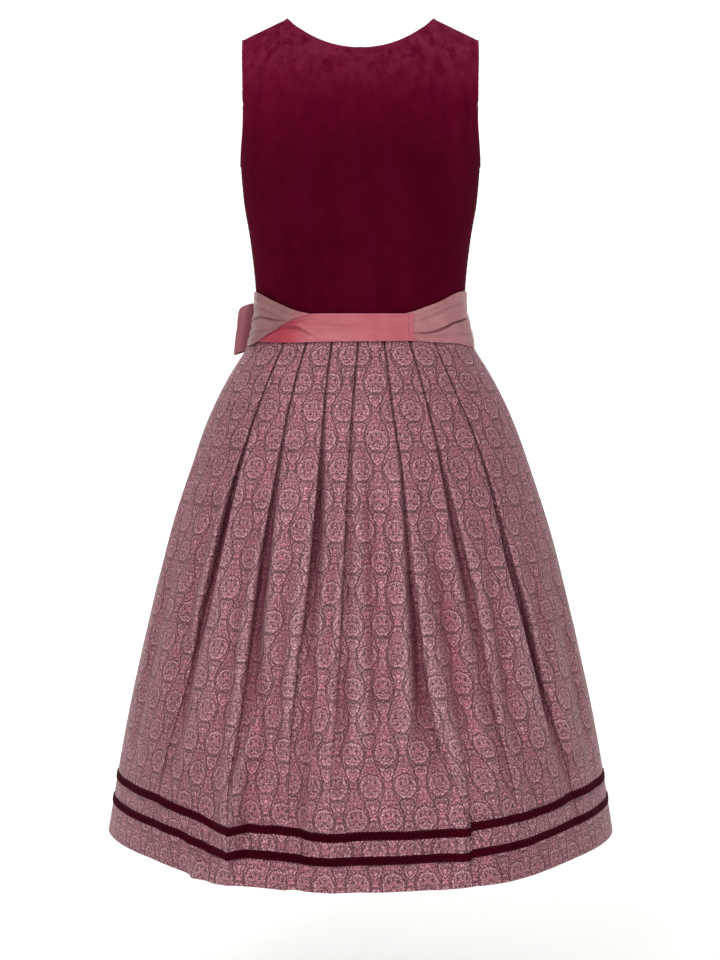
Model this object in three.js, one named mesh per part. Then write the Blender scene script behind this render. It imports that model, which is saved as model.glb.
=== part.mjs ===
// A dirndl on an unseen wearer: velvet bodice, pleated figured skirt with two rows of velvet ribbon,
// and an apron whose ties are wound round the waist and tied in a bow on the wearer's left.
// Millimetres. +Z is up, -Y is the dress's back, +X is the wearer's right.
// The origin lies midway between the shoulder seams, where the wearer's shoulders carry the dress.
import * as THREE from "three";

// Driving sizes.
const neckPointHeight = 14;
const neckHalfWidth = 92.5;
const shoulderSlope = 0.476;
const waistHeight = -375;
const skirtDrop = 649;
const bodiceWall = 1.8;
const skirtWall = 2.2;
const sashWall = 1.3;
const apronWall = 1.4;
const ribbonWall = 0.9;
const ribbonWidth = 9.5;
const seamGap = 0.3;
const seamGapAngle = 0.09; // degrees that a panel stops short of its seam, about half the seam gap
const sashLine = -371.5; // height of the middle of the wound ties at the centre back

const colours = {
  velvet: 0x4a0520,
  jacquard: 0x9c4a5c,
  ribbon: 0x3a0216,
  tieDull: 0x94696c,
  tieBright: 0xb8505c,
};

// Sections of the body of the dress from the waist to the shoulder seam. Depths are from the side seam's plane.
const torsoRows = [
  { level: 0, z: waistHeight, halfWidth: 133, backDepth: 93, frontDepth: 93 },
  { level: 1, z: -325, halfWidth: 134.3, backDepth: 94, frontDepth: 98 },
  { level: 2, z: -265, halfWidth: 140, backDepth: 97, frontDepth: 108 },
  { level: 3, z: -215, halfWidth: 148, backDepth: 99, frontDepth: 115 },
  { level: 4, z: -172, halfWidth: 152.3, backDepth: 99, frontDepth: 113 },
  { level: 5, z: -120, halfWidth: 157.5, backDepth: 95, frontDepth: 99 },
  { level: 6, z: -70, halfWidth: 162.5, backDepth: 81, frontDepth: 81 },
  { level: 7, z: -30, halfWidth: 163.5, backDepth: 60, frontDepth: 60 },
  { level: 8, z: -2, halfWidth: 163.5, backDepth: 35, frontDepth: 35 },
  { level: 9, z: 10.5, halfWidth: 163.5, backDepth: 14, frontDepth: 14 },
  { level: 10, z: neckPointHeight, halfWidth: 163.5, backDepth: 0.15, frontDepth: 0.15 },
];
const underarmLevel = 4;
const junctionLevel = 5.65; // where the shaped seams run out into the armholes
const shoulderLevel = 10;
const bust = { rise: 13, apart: 78, height: -212, wide: 42, tall: 48 };

// The long edge of the centre panels: shaped seam from the waist to the armhole, then the armhole to the shoulder tip.
// Angles in degrees from the centre back, or from the centre front.
const panelEdgeRows = [
  { level: 0, back: 31, front: 27 },
  { level: 1, back: 31, front: 29 },
  { level: 2, back: 31, front: 31.5 },
  { level: 3, back: 31.5, front: 33.7 },
  { level: 4, back: 33, front: 35 },
  { level: 4.5, back: 35, front: 37.5 },
  { level: 4.8, back: 38.5, front: 40.5 },
  { level: 5.05, back: 43.5, front: 44 },
  { level: 5.3, back: 52, front: 48.5 },
  { level: 5.5, back: 61.5, front: 53 },
  { level: junctionLevel, back: 68.5, front: 57 },
  { level: 6.3, back: 66.6, front: 54 },
  { level: 7, back: 65.7, front: 54.5 },
  { level: 8, back: 65.7, front: 59 },
  { level: 9, back: 65.8, front: 63 },
  { level: shoulderLevel, back: 65.9, front: 65.9 },
];

// Level of the neckline at a share of the way from the centre to the neck point.
const neckShare = 0.5235; // the neck point's share of the way to the shoulder tip
const neckRows = [
  { share: 0, back: 7, front: 4.85 },
  { share: 0.5, back: 7.32, front: 4.98 },
  { share: 0.75, back: 7.8, front: 5.35 },
  { share: 0.9, back: 8.4, front: 6.15 },
  { share: 0.97, back: 9.1, front: 7.4 },
  { share: 1, back: shoulderLevel, front: shoulderLevel },
];
const neckTurn = { back: 8, front: 5.3 }; // level at which the neckline turns up along the strap
const flatShares = [0, 0.25, 0.5]; // columns under the neckline's flat part, as shares of the way to the neck point
const strapShares = [0, 0.25, 0.5, 0.75, 1]; // columns from the neckline's side to the panel's long edge
const sideShares = [0, 0.25, 0.5, 0.75, 1];
const armholeCurve = 1.8; // how sharply the armhole turns at the underarm

// Outer form of the skirt below the waist seam; "point" above 1 narrows the section towards the side seams.
const skirtRows = [
  { drop: 0, halfWidth: 133, halfDepth: 93, point: 1 },
  { drop: 25, halfWidth: 145, halfDepth: 102, point: 1 },
  { drop: 60, halfWidth: 166.5, halfDepth: 121, point: 1.02 },
  { drop: 111, halfWidth: 192, halfDepth: 146, point: 1.05 },
  { drop: 163, halfWidth: 211.5, halfDepth: 167, point: 1.07 },
  { drop: 265, halfWidth: 244.5, halfDepth: 203, point: 1.1 },
  { drop: 393, halfWidth: 277.3, halfDepth: 240, point: 1.14 },
  { drop: 521, halfWidth: 305, halfDepth: 271, point: 1.17 },
  { drop: skirtDrop, halfWidth: 327.3, halfDepth: 297, point: 1.2 },
];
const skirtStops = [0, 25, 60, 110, 175, 250, 330, 410, 490, 570, skirtDrop];

// Laid pleats. "facing" is 1 where the upper layer lies on the -X side of the fold and its edge looks to +X.
const backPleats = [
  { waist: -61, hem: -60, facing: 1, body: 4, hemDepth: 2 },
  { waist: -44, hem: -42, facing: 1, body: 19, hemDepth: 5 },
  { waist: -30.5, hem: -25.7, facing: 1, body: 18, hemDepth: 4 },
  { waist: -16, hem: -14.8, facing: 1, body: 19, hemDepth: 3 },
  { waist: -1.5, hem: -5, facing: 1, body: 15, hemDepth: 2 },
  { waist: 13, hem: 18.6, facing: -1, body: 20, hemDepth: 4 },
  { waist: 27, hem: 33.5, facing: -1, body: 18, hemDepth: 4 },
  { waist: 43, hem: 48.5, facing: -1, body: 20, hemDepth: 5 },
  { waist: 59, hem: 62, facing: -1, body: 4, hemDepth: 2 },
];
const frontPleats = [103, 118, 133, 148].flatMap((angle) => [
  { waist: angle, hem: angle, facing: 1, body: 16, hemDepth: 7 },
  { waist: 360 - angle, hem: 360 - angle, facing: -1, body: 16, hemDepth: 7 },
]);
const pleatRiser = 2.8; // degrees from a pleat's edge in to its groove
const pleatRun = 6.6; // degrees over which the next layer comes up again
const pleatWaistShare = 0.22;
const plainStep = 8; // widest spacing of columns on plain cloth, degrees

const ribbonHeights = [62.5, 34.5]; // middles of the ribbons above the hem at the centre back
const ribbonRise = 11; // how much further they are from the hem at the side seams
const hemCorner = { swell: 14, angle: 34, wide: 13, from: 350 }; // the lower skirt stands out beside the centre
const ribbonLift = 0.8;

const apron = { halfAngle: 62, bandTop: 13, bandBottom: -26, shorter: 75, gathers: 12, lift: 2.2 };

// Heights of the ties' edges above the sash line, by degrees from the centre back.
const leftTieRows = [
  { angle: -136.5, top: 17, bottom: -17, lift: 4.3 },
  { angle: -122, top: 29, bottom: -17.5, lift: 3.7 },
  { angle: -108, top: 38, bottom: -21, lift: 2.4 },
  { angle: -90, top: 42.5, bottom: -25, lift: 0.8 },
  { angle: -82, top: 41.8, bottom: -22.5, lift: 1.4 },
  { angle: -72, top: 40.5, bottom: -17, lift: 4.2 },
  { angle: -58, top: 36, bottom: -9, lift: 4.2 },
  { angle: -43.8, top: 26.5, bottom: 0, lift: 4.2 },
  { angle: -34, top: 19, bottom: 8, lift: 4.2 },
  { angle: -26, top: 14.5, bottom: 11.5, lift: 4.2 },
];
const centreTieRows = [
  { angle: -70, top: -17, bottom: -20.8, lift: 2.4 },
  { angle: -62, top: -11, bottom: -20.5, lift: 2.4 },
  { angle: -50, top: -1, bottom: -20, lift: 2.4 },
  { angle: -43, top: 4, bottom: -20, lift: 2.4 },
  { angle: -30, top: 12.5, bottom: -20, lift: 2.4 },
  { angle: -20, top: 13.7, bottom: -20, lift: 2.4 },
  { angle: 31.5, top: 13.7, bottom: -20, lift: 2.4 },
];
const rightTieRows = [
  { angle: 26, top: 15.5, bottom: -19, lift: 0.7 },
  { angle: 31.5, top: 18, bottom: -19.5, lift: 0.7 },
  { angle: 47, top: 29, bottom: -21.5, lift: 0.7 },
  { angle: 70, top: 41, bottom: -24.5, lift: 0.7 },
  { angle: 92, top: 42.5, bottom: -26, lift: 0.8 },
];
const frontTieRows = [
  { angle: 92.2, top: 42.5, bottom: -26, lift: 0.8 },
  { angle: 104, top: 40, bottom: -23.5, lift: 2.2 },
  { angle: 114, top: 36, bottom: -19.3, lift: 2.7 },
  { angle: 135, top: 24, bottom: -17, lift: 2.7 },
  { angle: 180, top: 18, bottom: -17, lift: 2.7 },
  { angle: 212, top: 18, bottom: -17, lift: 2.7 },
  { angle: 221.2, top: 17, bottom: -17, lift: 2.7 },
];
const tieStep = 4.5; // degrees between a tie's columns
const tieStops = [0, 0.2, 0.38, 0.46, 0.56, 0.8, 1];

const bow = { angle: 222, height: -372.5, halfWidth: 15, halfHeight: 18.5, halfDepth: 8 };
const bowLift = 6.1;
const knotLean = 0.5; // how far the knot follows the flare of the skirt below its middle
const loopLean = 0.12;
const loopLength = 56;
const tailLength = 430;

const degrees = Math.PI / 180;
const { clamp, lerp, smoothstep } = THREE.MathUtils;

// Smooth, never overshooting curve through a table's column.
function through(rows, knob, column, at) {
  const last = rows.length - 1;
  const value = clamp(at, rows[0][knob], rows[last][knob]);
  let i = 0;
  while (i < last - 1 && value > rows[i + 1][knob]) i += 1;
  const slope = (k) =>
    (rows[k + 1][column] - rows[k][column]) / (rows[k + 1][knob] - rows[k][knob]);
  const here = slope(i);
  const meet = (a, b) => (a * b <= 0 ? 0 : (2 * a * b) / (a + b));
  const startSlope = i > 0 ? meet(slope(i - 1), here) : here;
  const endSlope = i < last - 1 ? meet(here, slope(i + 1)) : here;
  const span = rows[i + 1][knob] - rows[i][knob];
  const t = (value - rows[i][knob]) / span;
  const u = 1 - t;
  return (
    rows[i][column] * u * u * (1 + 2 * t) +
    rows[i + 1][column] * t * t * (3 - 2 * t) +
    startSlope * span * t * u * u -
    endSlope * span * t * t * u
  );
}

// Closed wall between two grids of points, each a list of columns that start level and may end at different rows.
// A ring's last column meets its first.
function wallGeometry(outer, inner, isRing = false) {
  const starts = outer.map((_, i) => outer.slice(0, i).reduce((sum, column) => sum + column.length, 0));
  const points = [...outer.flat(), ...inner.flat()];
  const behind = points.length / 2;
  const faces = [];
  const open = new Map();
  const edge = (a, b) => {
    if (!open.delete(`${b},${a}`)) open.set(`${a},${b}`, [a, b]);
  };
  const spans = isRing ? outer.length : outer.length - 1;
  for (let i = 0; i < spans; i += 1) {
    const next = (i + 1) % outer.length;
    const rows = Math.min(outer[i].length, outer[next].length);
    for (let j = 0; j < rows - 1; j += 1) {
      const [a, b, c, d] = [starts[i] + j, starts[next] + j, starts[next] + j + 1, starts[i] + j + 1];
      faces.push(a, b, c, a, c, d);
      faces.push(behind + a, behind + c, behind + b, behind + a, behind + d, behind + c);
      edge(a, b);
      edge(b, c);
      edge(c, d);
      edge(d, a);
    }
  }
  for (const [a, b] of open.values()) faces.push(b, a, behind + a, b, behind + a, behind + b);
  return solidGeometry(points, faces);
}

// Closed body through rings of points, its first and last rings closed by fans.
function loftGeometry(rings) {
  const count = rings[0].length;
  const points = rings.flat();
  const faces = [];
  for (let k = 0; k < rings.length - 1; k += 1) {
    for (let i = 0; i < count; i += 1) {
      const next = (i + 1) % count;
      const a = k * count;
      const b = a + count;
      faces.push(a + i, a + next, b + next, a + i, b + next, b + i);
    }
  }
  const lastRing = (rings.length - 1) * count;
  for (let i = 1; i < count - 1; i += 1) {
    faces.push(0, i + 1, i);
    faces.push(lastRing, lastRing + i, lastRing + i + 1);
  }
  return solidGeometry(points, faces);
}

// Geometry of a closed body, with its faces turned to point out.
function solidGeometry(points, faces) {
  let volume = 0;
  const cross = new THREE.Vector3();
  for (let f = 0; f < faces.length; f += 3) {
    cross.crossVectors(points[faces[f + 1]], points[faces[f + 2]]);
    volume += points[faces[f]].dot(cross);
  }
  if (volume < 0) faces.reverse();
  const geometry = new THREE.BufferGeometry().setFromPoints(points);
  geometry.setIndex(faces);
  geometry.computeVertexNormals();
  return geometry;
}

// The bodice's outer surface: degrees from the centre back, and a level from the waist to the shoulder seam.
function torsoPoint(angle, level) {
  const turn = angle * degrees;
  const isBack = Math.cos(turn) >= 0;
  const halfWidth = through(torsoRows, "level", "halfWidth", level);
  const depth = through(torsoRows, "level", isBack ? "backDepth" : "frontDepth", level);
  const x = halfWidth * Math.sin(turn);
  const slopeShare = smoothstep(level, underarmLevel, 8);
  const fall = Math.max(0, Math.abs(x) - neckHalfWidth) * shoulderSlope * slopeShare;
  const z = through(torsoRows, "level", "z", level) - fall;
  let y = -depth * Math.cos(turn);
  if (!isBack) {
    const across = (Math.abs(x) - bust.apart) / bust.wide;
    const along = (z - bust.height) / bust.tall;
    y += bust.rise * Math.exp(-across * across - along * along) * smoothstep(y, 0, 40);
  }
  return new THREE.Vector3(x, y, z);
}

function torsoNormal(angle, level) {
  const turn = 0.2;
  const rise = 0.04;
  const low = Math.min(level, shoulderLevel - rise);
  const across = torsoPoint(angle + turn, low).sub(torsoPoint(angle - turn, low));
  const along = torsoPoint(angle, low + rise).sub(torsoPoint(angle, Math.max(0, low - rise)));
  return across.cross(along).normalize();
}

function levelAt(z) {
  let low = 0;
  let high = shoulderLevel;
  for (let step = 0; step < 30; step += 1) {
    const middle = (low + high) / 2;
    if (through(torsoRows, "level", "z", middle) < z) low = middle;
    else high = middle;
  }
  return low;
}

// Wall of a bodice panel from a grid of [angle, level].
function bodicePanel(grid) {
  const outer = grid.map((column) => column.map(([angle, level]) => torsoPoint(angle, level)));
  const inner = grid.map((column, i) =>
    column.map(([angle, level], j) => {
      const normal = torsoNormal(angle, level);
      if (level > shoulderLevel - 0.01) normal.setY(0).normalize();
      return outer[i][j].clone().addScaledVector(normal, -bodiceWall);
    }),
  );
  return wallGeometry(outer, inner);
}

// Levels at which every panel's edge has a point, so that neighbours meet along one line.
const edgeLevels = [...panelEdgeRows.map((row) => row.level), 8.5].sort((a, b) => a - b);

// Columns of a centre panel from the centre line to its long edge. Those under the neckline's flat part end there.
function centreColumns(side, place) {
  const turn = neckTurn[side];
  const edge = (level) => through(panelEdgeRows, "level", side, level) - seamGapAngle;
  const neckline = (level) => neckShare * through(neckRows, side, "share", Math.max(level, turn));
  const flat = flatShares.map((share) => {
    const top = through(neckRows, "share", side, share);
    const squeeze = (turn - top) / (turn - underarmLevel);
    return edgeLevels
      .filter((level) => level <= turn)
      .map((level) => [
        place(share * neckShare * edge(level)),
        level - Math.max(0, level - underarmLevel) * squeeze,
      ]);
  });
  const strap = strapShares.map((share) =>
    edgeLevels.map((level) => [place(lerp(neckline(level), 1, share) * edge(level)), level]),
  );
  return [...flat, ...strap];
}

function bodiceBack() {
  const left = centreColumns("back", (angle) => -angle).slice(1).reverse();
  return bodicePanel([...left, ...centreColumns("back", (angle) => angle)]);
}

// Half of the front, on the side of the given sign; its straight edge is the closing at the centre front.
function bodiceFront(sign) {
  const place = (angle) => sign * (180 - Math.max(angle, seamGapAngle));
  return bodicePanel(centreColumns("front", place));
}

// Panel between a shaped seam and the side seam, under the armhole.
function bodiceSide(sign, side) {
  const levels = edgeLevels.filter((level) => level <= junctionLevel);
  const place = (angle) => sign * (side === "back" ? angle : 180 - angle);
  const columns = sideShares.map((share) => {
    const armholeDrop = Math.pow(1 - share, armholeCurve);
    const top = lerp(underarmLevel, junctionLevel, armholeDrop);
    return levels.map((edgeLevel) => {
      const seam = through(panelEdgeRows, "level", side, edgeLevel) + seamGapAngle;
      const angle = lerp(seam, 90 - seamGapAngle, share);
      return [place(angle), (edgeLevel / junctionLevel) * top];
    });
  });
  return bodicePanel(columns);
}

// The skirt's outer form without its pleats.
function skirtForm(angle, drop, lift = 0) {
  const turn = angle * degrees;
  const away = (Math.asin(Math.abs(Math.sin(turn))) / degrees - hemCorner.angle) / hemCorner.wide;
  const corner = hemCorner.swell * Math.exp(-away * away) * smoothstep(drop, hemCorner.from, skirtDrop);
  const halfWidth = through(skirtRows, "drop", "halfWidth", drop);
  const halfDepth = through(skirtRows, "drop", "halfDepth", drop);
  const point = through(skirtRows, "drop", "point", drop);
  const bend = (value) => Math.sign(value) * Math.pow(Math.abs(value), point);
  const x = halfWidth * bend(Math.sin(turn));
  const y = -halfDepth * bend(Math.cos(turn));
  const out = outward(angle, halfWidth, halfDepth);
  return new THREE.Vector3(x, y, waistHeight - drop).addScaledVector(out, lift + corner);
}

// Level direction away from the body on an oval section.
function outward(angle, halfWidth, halfDepth) {
  const turn = angle * degrees;
  return new THREE.Vector3(Math.sin(turn) / halfWidth, -Math.cos(turn) / halfDepth, 0).normalize();
}

// A point on the dress at any height round the waist, moved out level by "lift".
function dressPoint(angle, z, lift) {
  if (z < waistHeight) return skirtForm(angle, waistHeight - z, lift);
  const level = levelAt(z);
  const halfWidth = through(torsoRows, "level", "halfWidth", level);
  const depth = through(torsoRows, "level", "backDepth", level);
  return torsoPoint(angle, level).addScaledVector(outward(angle, halfWidth, depth), lift);
}

function pleatAngle(pleat, drop) {
  return lerp(pleat.waist, pleat.hem, drop / skirtDrop);
}

function pleatDepth(pleat, drop) {
  const down = drop / skirtDrop;
  const opening = lerp(pleatWaistShare, 1, smoothstep(down, 0, 0.32));
  const closing = smoothstep(down, 0.5, 1);
  return pleat.body * opening * (1 - closing) + pleat.hemDepth * closing;
}

// How far the cloth lies inside the skirt's form, from the grooves of the pleats near it.
function pleatSink(pleats, angle, drop) {
  let sink = 0;
  for (const pleat of pleats) {
    const along = pleat.facing * (angle - pleatAngle(pleat, drop));
    if (along <= -pleatRiser || along >= pleatRun) continue;
    const share = along < 0 ? 1 + along / pleatRiser : 1 - along / pleatRun;
    sink += pleatDepth(pleat, drop) * smoothstep(share, 0, 1);
  }
  return sink;
}

// Columns of a skirt panel as functions of the drop: five to a pleat, and plain ones between.
function skirtColumns(pleats, from, to) {
  const marks = [() => from];
  for (const pleat of [...pleats].sort((a, b) => a.waist - b.waist)) {
    const stops = [-pleatRiser, -pleatRiser / 2, 0, pleatRun / 3, (2 * pleatRun) / 3, pleatRun];
    const ordered = pleat.facing > 0 ? stops : stops.reverse();
    for (const stop of ordered) marks.push((drop) => pleatAngle(pleat, drop) + pleat.facing * stop);
  }
  marks.push(() => to);
  const columns = [];
  marks.slice(0, -1).forEach((mark, i) => {
    const next = marks[i + 1];
    const pieces = Math.max(1, Math.ceil((next(0) - mark(0)) / plainStep));
    for (let k = 0; k < pieces; k += 1) {
      columns.push((drop) => lerp(mark(drop), next(drop), k / pieces));
    }
  });
  columns.push(marks[marks.length - 1]);
  return columns;
}

function skirtPoint(pleats, angle, drop, lift = 0) {
  return skirtForm(angle, drop, lift - pleatSink(pleats, angle, drop));
}

const backColumns = skirtColumns(backPleats, -90 + seamGapAngle, 90 - seamGapAngle);
const frontColumns = skirtColumns(frontPleats, 90 + seamGapAngle, 270 - seamGapAngle);

function skirtPanel(pleats, columns) {
  const drops = [seamGap, ...skirtStops.slice(1)];
  const surface = (lift) =>
    columns.map((column) => drops.map((drop) => skirtPoint(pleats, column(drop), drop, lift)));
  return wallGeometry(surface(0), surface(-skirtWall));
}

// Ribbon sewn round the skirt: the wall's own points between its last two rows, moved out.
function hemRibbon(height) {
  const upper = skirtStops[skirtStops.length - 2];
  const edge = (pleats, column, lift, drop) => {
    const share = (drop - upper) / (skirtDrop - upper);
    const high = skirtPoint(pleats, column(upper), upper, lift);
    return high.lerp(skirtPoint(pleats, column(skirtDrop), skirtDrop, lift), share);
  };
  const ring = (lift) =>
    [
      ...backColumns.map((column) => [backPleats, column]),
      ...frontColumns.map((column) => [frontPleats, column]),
    ].map(([pleats, column]) => {
      const side = Math.asin(Math.abs(Math.sin(column(skirtDrop) * degrees))) / degrees;
      const middle = skirtDrop - height - ribbonRise * smoothstep(side, 35, 68);
      const drops = [middle - ribbonWidth / 2, middle + ribbonWidth / 2];
      return drops.map((drop) => edge(pleats, column, lift, drop));
    });
  return wallGeometry(ring(ribbonLift + ribbonWall), ring(ribbonLift), true);
}

// A stretch of tie wound on the dress, with a soft fold along it. "puff" is how far it stands off beside the fold.
function tieStretch(rows, puff, foldAt) {
  const from = rows[0].angle;
  const to = rows[rows.length - 1].angle;
  const count = Math.ceil((to - from) / tieStep);
  const surface = (extra) =>
    Array.from({ length: count + 1 }, (_, i) => {
      const angle = lerp(from, to, i / count);
      const top = sashLine + through(rows, "angle", "top", angle);
      const bottom = sashLine + through(rows, "angle", "bottom", angle);
      const lift = through(rows, "angle", "lift", angle);
      const wide = smoothstep(top - bottom, 34, 68);
      return tieStops.map((stop) => {
        const beside = (stop - foldAt) / 0.13;
        const edges = Math.sin(Math.PI * clamp(stop, 0, 1));
        const swell = puff * wide * edges * (1 - Math.exp(-beside * beside));
        return dressPoint(angle, lerp(bottom, top, stop), lift + swell + extra);
      });
    });
  return wallGeometry(surface(sashWall), surface(0));
}

// The apron's band lies on the waist seam under the front stretch of the ties.
function apronBand() {
  const from = 180 - apron.halfAngle;
  const count = 28;
  const surface = (lift) =>
    Array.from({ length: count + 1 }, (_, i) => {
      const angle = from + (2 * apron.halfAngle * i) / count;
      return [apron.bandBottom, -13, -3.5, 0, 7, apron.bandTop].map((height) =>
        dressPoint(angle, sashLine + height, lift),
      );
    });
  return wallGeometry(surface(0.6 + apronWall), surface(0.6));
}

function apronLift(share, down) {
  const wave = 0.5 - 0.5 * Math.cos(2 * Math.PI * apron.gathers * share);
  return apron.lift + wave * lerp(1.4, 6, smoothstep(down, 0, 1));
}

// The apron's panel hangs from the band over the front of the skirt, gathered into soft waves.
function apronPanel() {
  const columns = apron.gathers * 4;
  const top = waistHeight - (sashLine + apron.bandBottom) + seamGap;
  const bottom = skirtDrop - apron.shorter;
  const downs = [0, 0.06, 0.15, 0.28, 0.44, 0.62, 0.8, 1];
  const surface = (extra) =>
    Array.from({ length: columns + 1 }, (_, i) => {
      const share = i / columns;
      const angle = 180 + apron.halfAngle * (2 * share - 1);
      return downs.map((down) =>
        skirtForm(angle, lerp(top, bottom, down), apronLift(share, down) + extra),
      );
    });
  return wallGeometry(surface(apronWall), surface(0));
}

// Directions at the bow: along the waist towards the side, and out from the body.
const bowOut = outward(bow.angle, 133, 93);
const bowAlong = new THREE.Vector3(bowOut.y, -bowOut.x, 0);
const bowCentre = dressPoint(bow.angle, bow.height, 0).addScaledVector(bowOut, bowLift + bow.halfDepth);

function bowPoint(along, out, up, lean) {
  return bowCentre
    .clone()
    .addScaledVector(bowAlong, along)
    .addScaledVector(bowOut, out + lean * Math.max(0, -up))
    .setZ(bow.height + up);
}

// The knot: a rounded barrel of folded tie.
function bowKnot() {
  const sides = 12;
  const rings = [-1, -0.85, -0.4, 0.4, 0.85, 1].map((share) => {
    const swell = 0.72 + 0.28 * Math.sqrt(1 - share * share);
    return Array.from({ length: sides }, (_, i) => {
      const turn = (2 * Math.PI * i) / sides;
      const squared = (value) => Math.sign(value) * Math.pow(Math.abs(value), 0.6);
      const along = bow.halfWidth * swell * squared(Math.cos(turn));
      const out = bow.halfDepth * swell * squared(Math.sin(turn));
      return bowPoint(along, out, bow.halfHeight * share, knotLean);
    });
  });
  return loftGeometry(rings);
}

// Path of a loop's middle in the level plane, from the knot out and back; "half" is half the tie's height there.
const loopRows = [
  { along: 0, out: 4.5, half: 15, drop: 0 },
  { along: 0.2, out: 9, half: 19, drop: 0 },
  { along: 0.45, out: 15, half: 25, drop: 0 },
  { along: 0.7, out: 17, half: 29, drop: -1 },
  { along: 0.9, out: 14, half: 31, drop: -2 },
  { along: 1, out: 6, half: 31, drop: -3 },
  { along: 0.96, out: -1, half: 31, drop: -3 },
  { along: 0.8, out: -5, half: 30, drop: -2 },
  { along: 0.55, out: -6, half: 27, drop: -1 },
  { along: 0.3, out: -5, half: 21, drop: 0 },
  { along: 0, out: -4, half: 15, drop: 0 },
];

function bowLoop(sign) {
  const start = bow.halfWidth - 0.35 + seamGap;
  const centre = loopRows.map(
    (row) => new THREE.Vector3(start + row.along * loopLength, row.out, row.drop),
  );
  const heights = [-1, -0.55, 0, 0.55, 1];
  const surface = (offset) =>
    centre.map((place, i) => {
      const before = centre[Math.max(0, i - 1)];
      const after = centre[Math.min(centre.length - 1, i + 1)];
      const heading = after.clone().sub(before).setZ(0).normalize();
      return heights.map((height) => {
        const along = place.x - heading.y * offset;
        const out = place.y + heading.x * offset;
        const slant = 0.04 * height * loopRows[i].half * loopRows[i].along;
        const up = place.z + height * loopRows[i].half;
        return bowPoint(sign * Math.max(start, along - slant), out, up, loopLean);
      });
    });
  return wallGeometry(surface(sashWall / 2), surface(-sashWall / 2));
}

// A hanging end of the tie, on the apron, cut on the slant; "lean" turns it away from the plumb line.
function bowTail(lean, slant, lift) {
  const downs = [0, 0.05, 0.12, 0.22, 0.36, 0.52, 0.7, 0.86, 1];
  const acrossStops = [-1, -0.5, 0, 0.5, 1];
  const top = waistHeight - (bow.height - bow.halfHeight) + seamGap;
  const surface = (extra) =>
    acrossStops.map((across) =>
      downs.map((down) => {
        const length = tailLength + slant * across;
        const drop = top + down * length;
        const halfWidth = lerp(9, 32, smoothstep(down, 0, 0.45));
        const radius = through(skirtRows, "drop", "halfWidth", drop);
        const middle = bow.angle + lean * smoothstep(down, 0, 0.8);
        const fold = 3 * Math.abs(across) * (1 - down);
        const off = lerp(lift, lift + 7, smoothstep(down, 0, 0.5)) + fold;
        return skirtForm(middle + (across * halfWidth) / (radius * degrees), drop, off + extra);
      }),
    );
  return wallGeometry(surface(sashWall), surface(0));
}

const dirndl = new THREE.Group();

function addPiece(name, geometry, colour, roughness) {
  const material = new THREE.MeshStandardMaterial({ color: colour, roughness, metalness: 0 });
  const piece = new THREE.Mesh(geometry, material);
  piece.name = name;
  dirndl.add(piece);
}

addPiece("bodice_back", bodiceBack(), colours.velvet, 0.9);
for (const [side, sign] of [["left", -1], ["right", 1]]) {
  addPiece(`bodice_side_back_${side}`, bodiceSide(sign, "back"), colours.velvet, 0.9);
  addPiece(`bodice_side_front_${side}`, bodiceSide(sign, "front"), colours.velvet, 0.9);
  addPiece(`bodice_front_${side}`, bodiceFront(sign), colours.velvet, 0.9);
}
addPiece("skirt_back", skirtPanel(backPleats, backColumns), colours.jacquard, 0.6);
addPiece("skirt_front", skirtPanel(frontPleats, frontColumns), colours.jacquard, 0.6);
addPiece("ribbon_upper", hemRibbon(ribbonHeights[0]), colours.ribbon, 0.9);
addPiece("ribbon_lower", hemRibbon(ribbonHeights[1]), colours.ribbon, 0.9);
addPiece("apron_band", apronBand(), colours.tieDull, 0.5);
addPiece("apron_panel", apronPanel(), colours.tieDull, 0.5);
addPiece("tie_right", tieStretch(rightTieRows, 1.6, 0.42), colours.tieDull, 0.5);
addPiece("tie_centre", tieStretch(centreTieRows, 0, 0.5), colours.tieBright, 0.5);
addPiece("tie_left", tieStretch(leftTieRows, 1.6, 0.48), colours.tieDull, 0.5);
addPiece("tie_front", tieStretch(frontTieRows, 1.6, 0.42), colours.tieDull, 0.5);
addPiece("bow_knot", bowKnot(), colours.tieDull, 0.5);
addPiece("bow_loop_side", bowLoop(-1), colours.tieDull, 0.5);
addPiece("bow_loop_front", bowLoop(1), colours.tieDull, 0.5);
addPiece("bow_tail_outer", bowTail(5, 12, 11.5), colours.tieDull, 0.5);
addPiece("bow_tail_inner", bowTail(-7, -12, 7.5), colours.tieDull, 0.5);

export default dirndl;
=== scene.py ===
import math

import bpy
import numpy as np
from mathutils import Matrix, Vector


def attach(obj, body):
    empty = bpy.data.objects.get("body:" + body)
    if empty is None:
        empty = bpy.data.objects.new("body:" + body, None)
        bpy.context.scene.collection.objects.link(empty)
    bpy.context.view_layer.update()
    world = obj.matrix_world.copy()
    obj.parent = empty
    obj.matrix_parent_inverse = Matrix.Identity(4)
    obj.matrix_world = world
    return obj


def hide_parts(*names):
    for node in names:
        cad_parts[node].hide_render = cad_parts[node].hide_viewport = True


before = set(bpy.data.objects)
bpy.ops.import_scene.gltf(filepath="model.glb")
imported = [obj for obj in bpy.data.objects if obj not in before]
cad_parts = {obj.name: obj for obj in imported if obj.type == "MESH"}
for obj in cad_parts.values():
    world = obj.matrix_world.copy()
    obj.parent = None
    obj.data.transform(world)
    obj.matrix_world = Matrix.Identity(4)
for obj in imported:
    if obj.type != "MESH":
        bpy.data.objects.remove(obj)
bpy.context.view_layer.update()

mm = 0.001
sharpDegrees = 55


# Columns of a table by name.
def table(names, *rows):
    return {name: np.array(column, float) for name, column in zip(names.split(), zip(*rows))}


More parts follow.
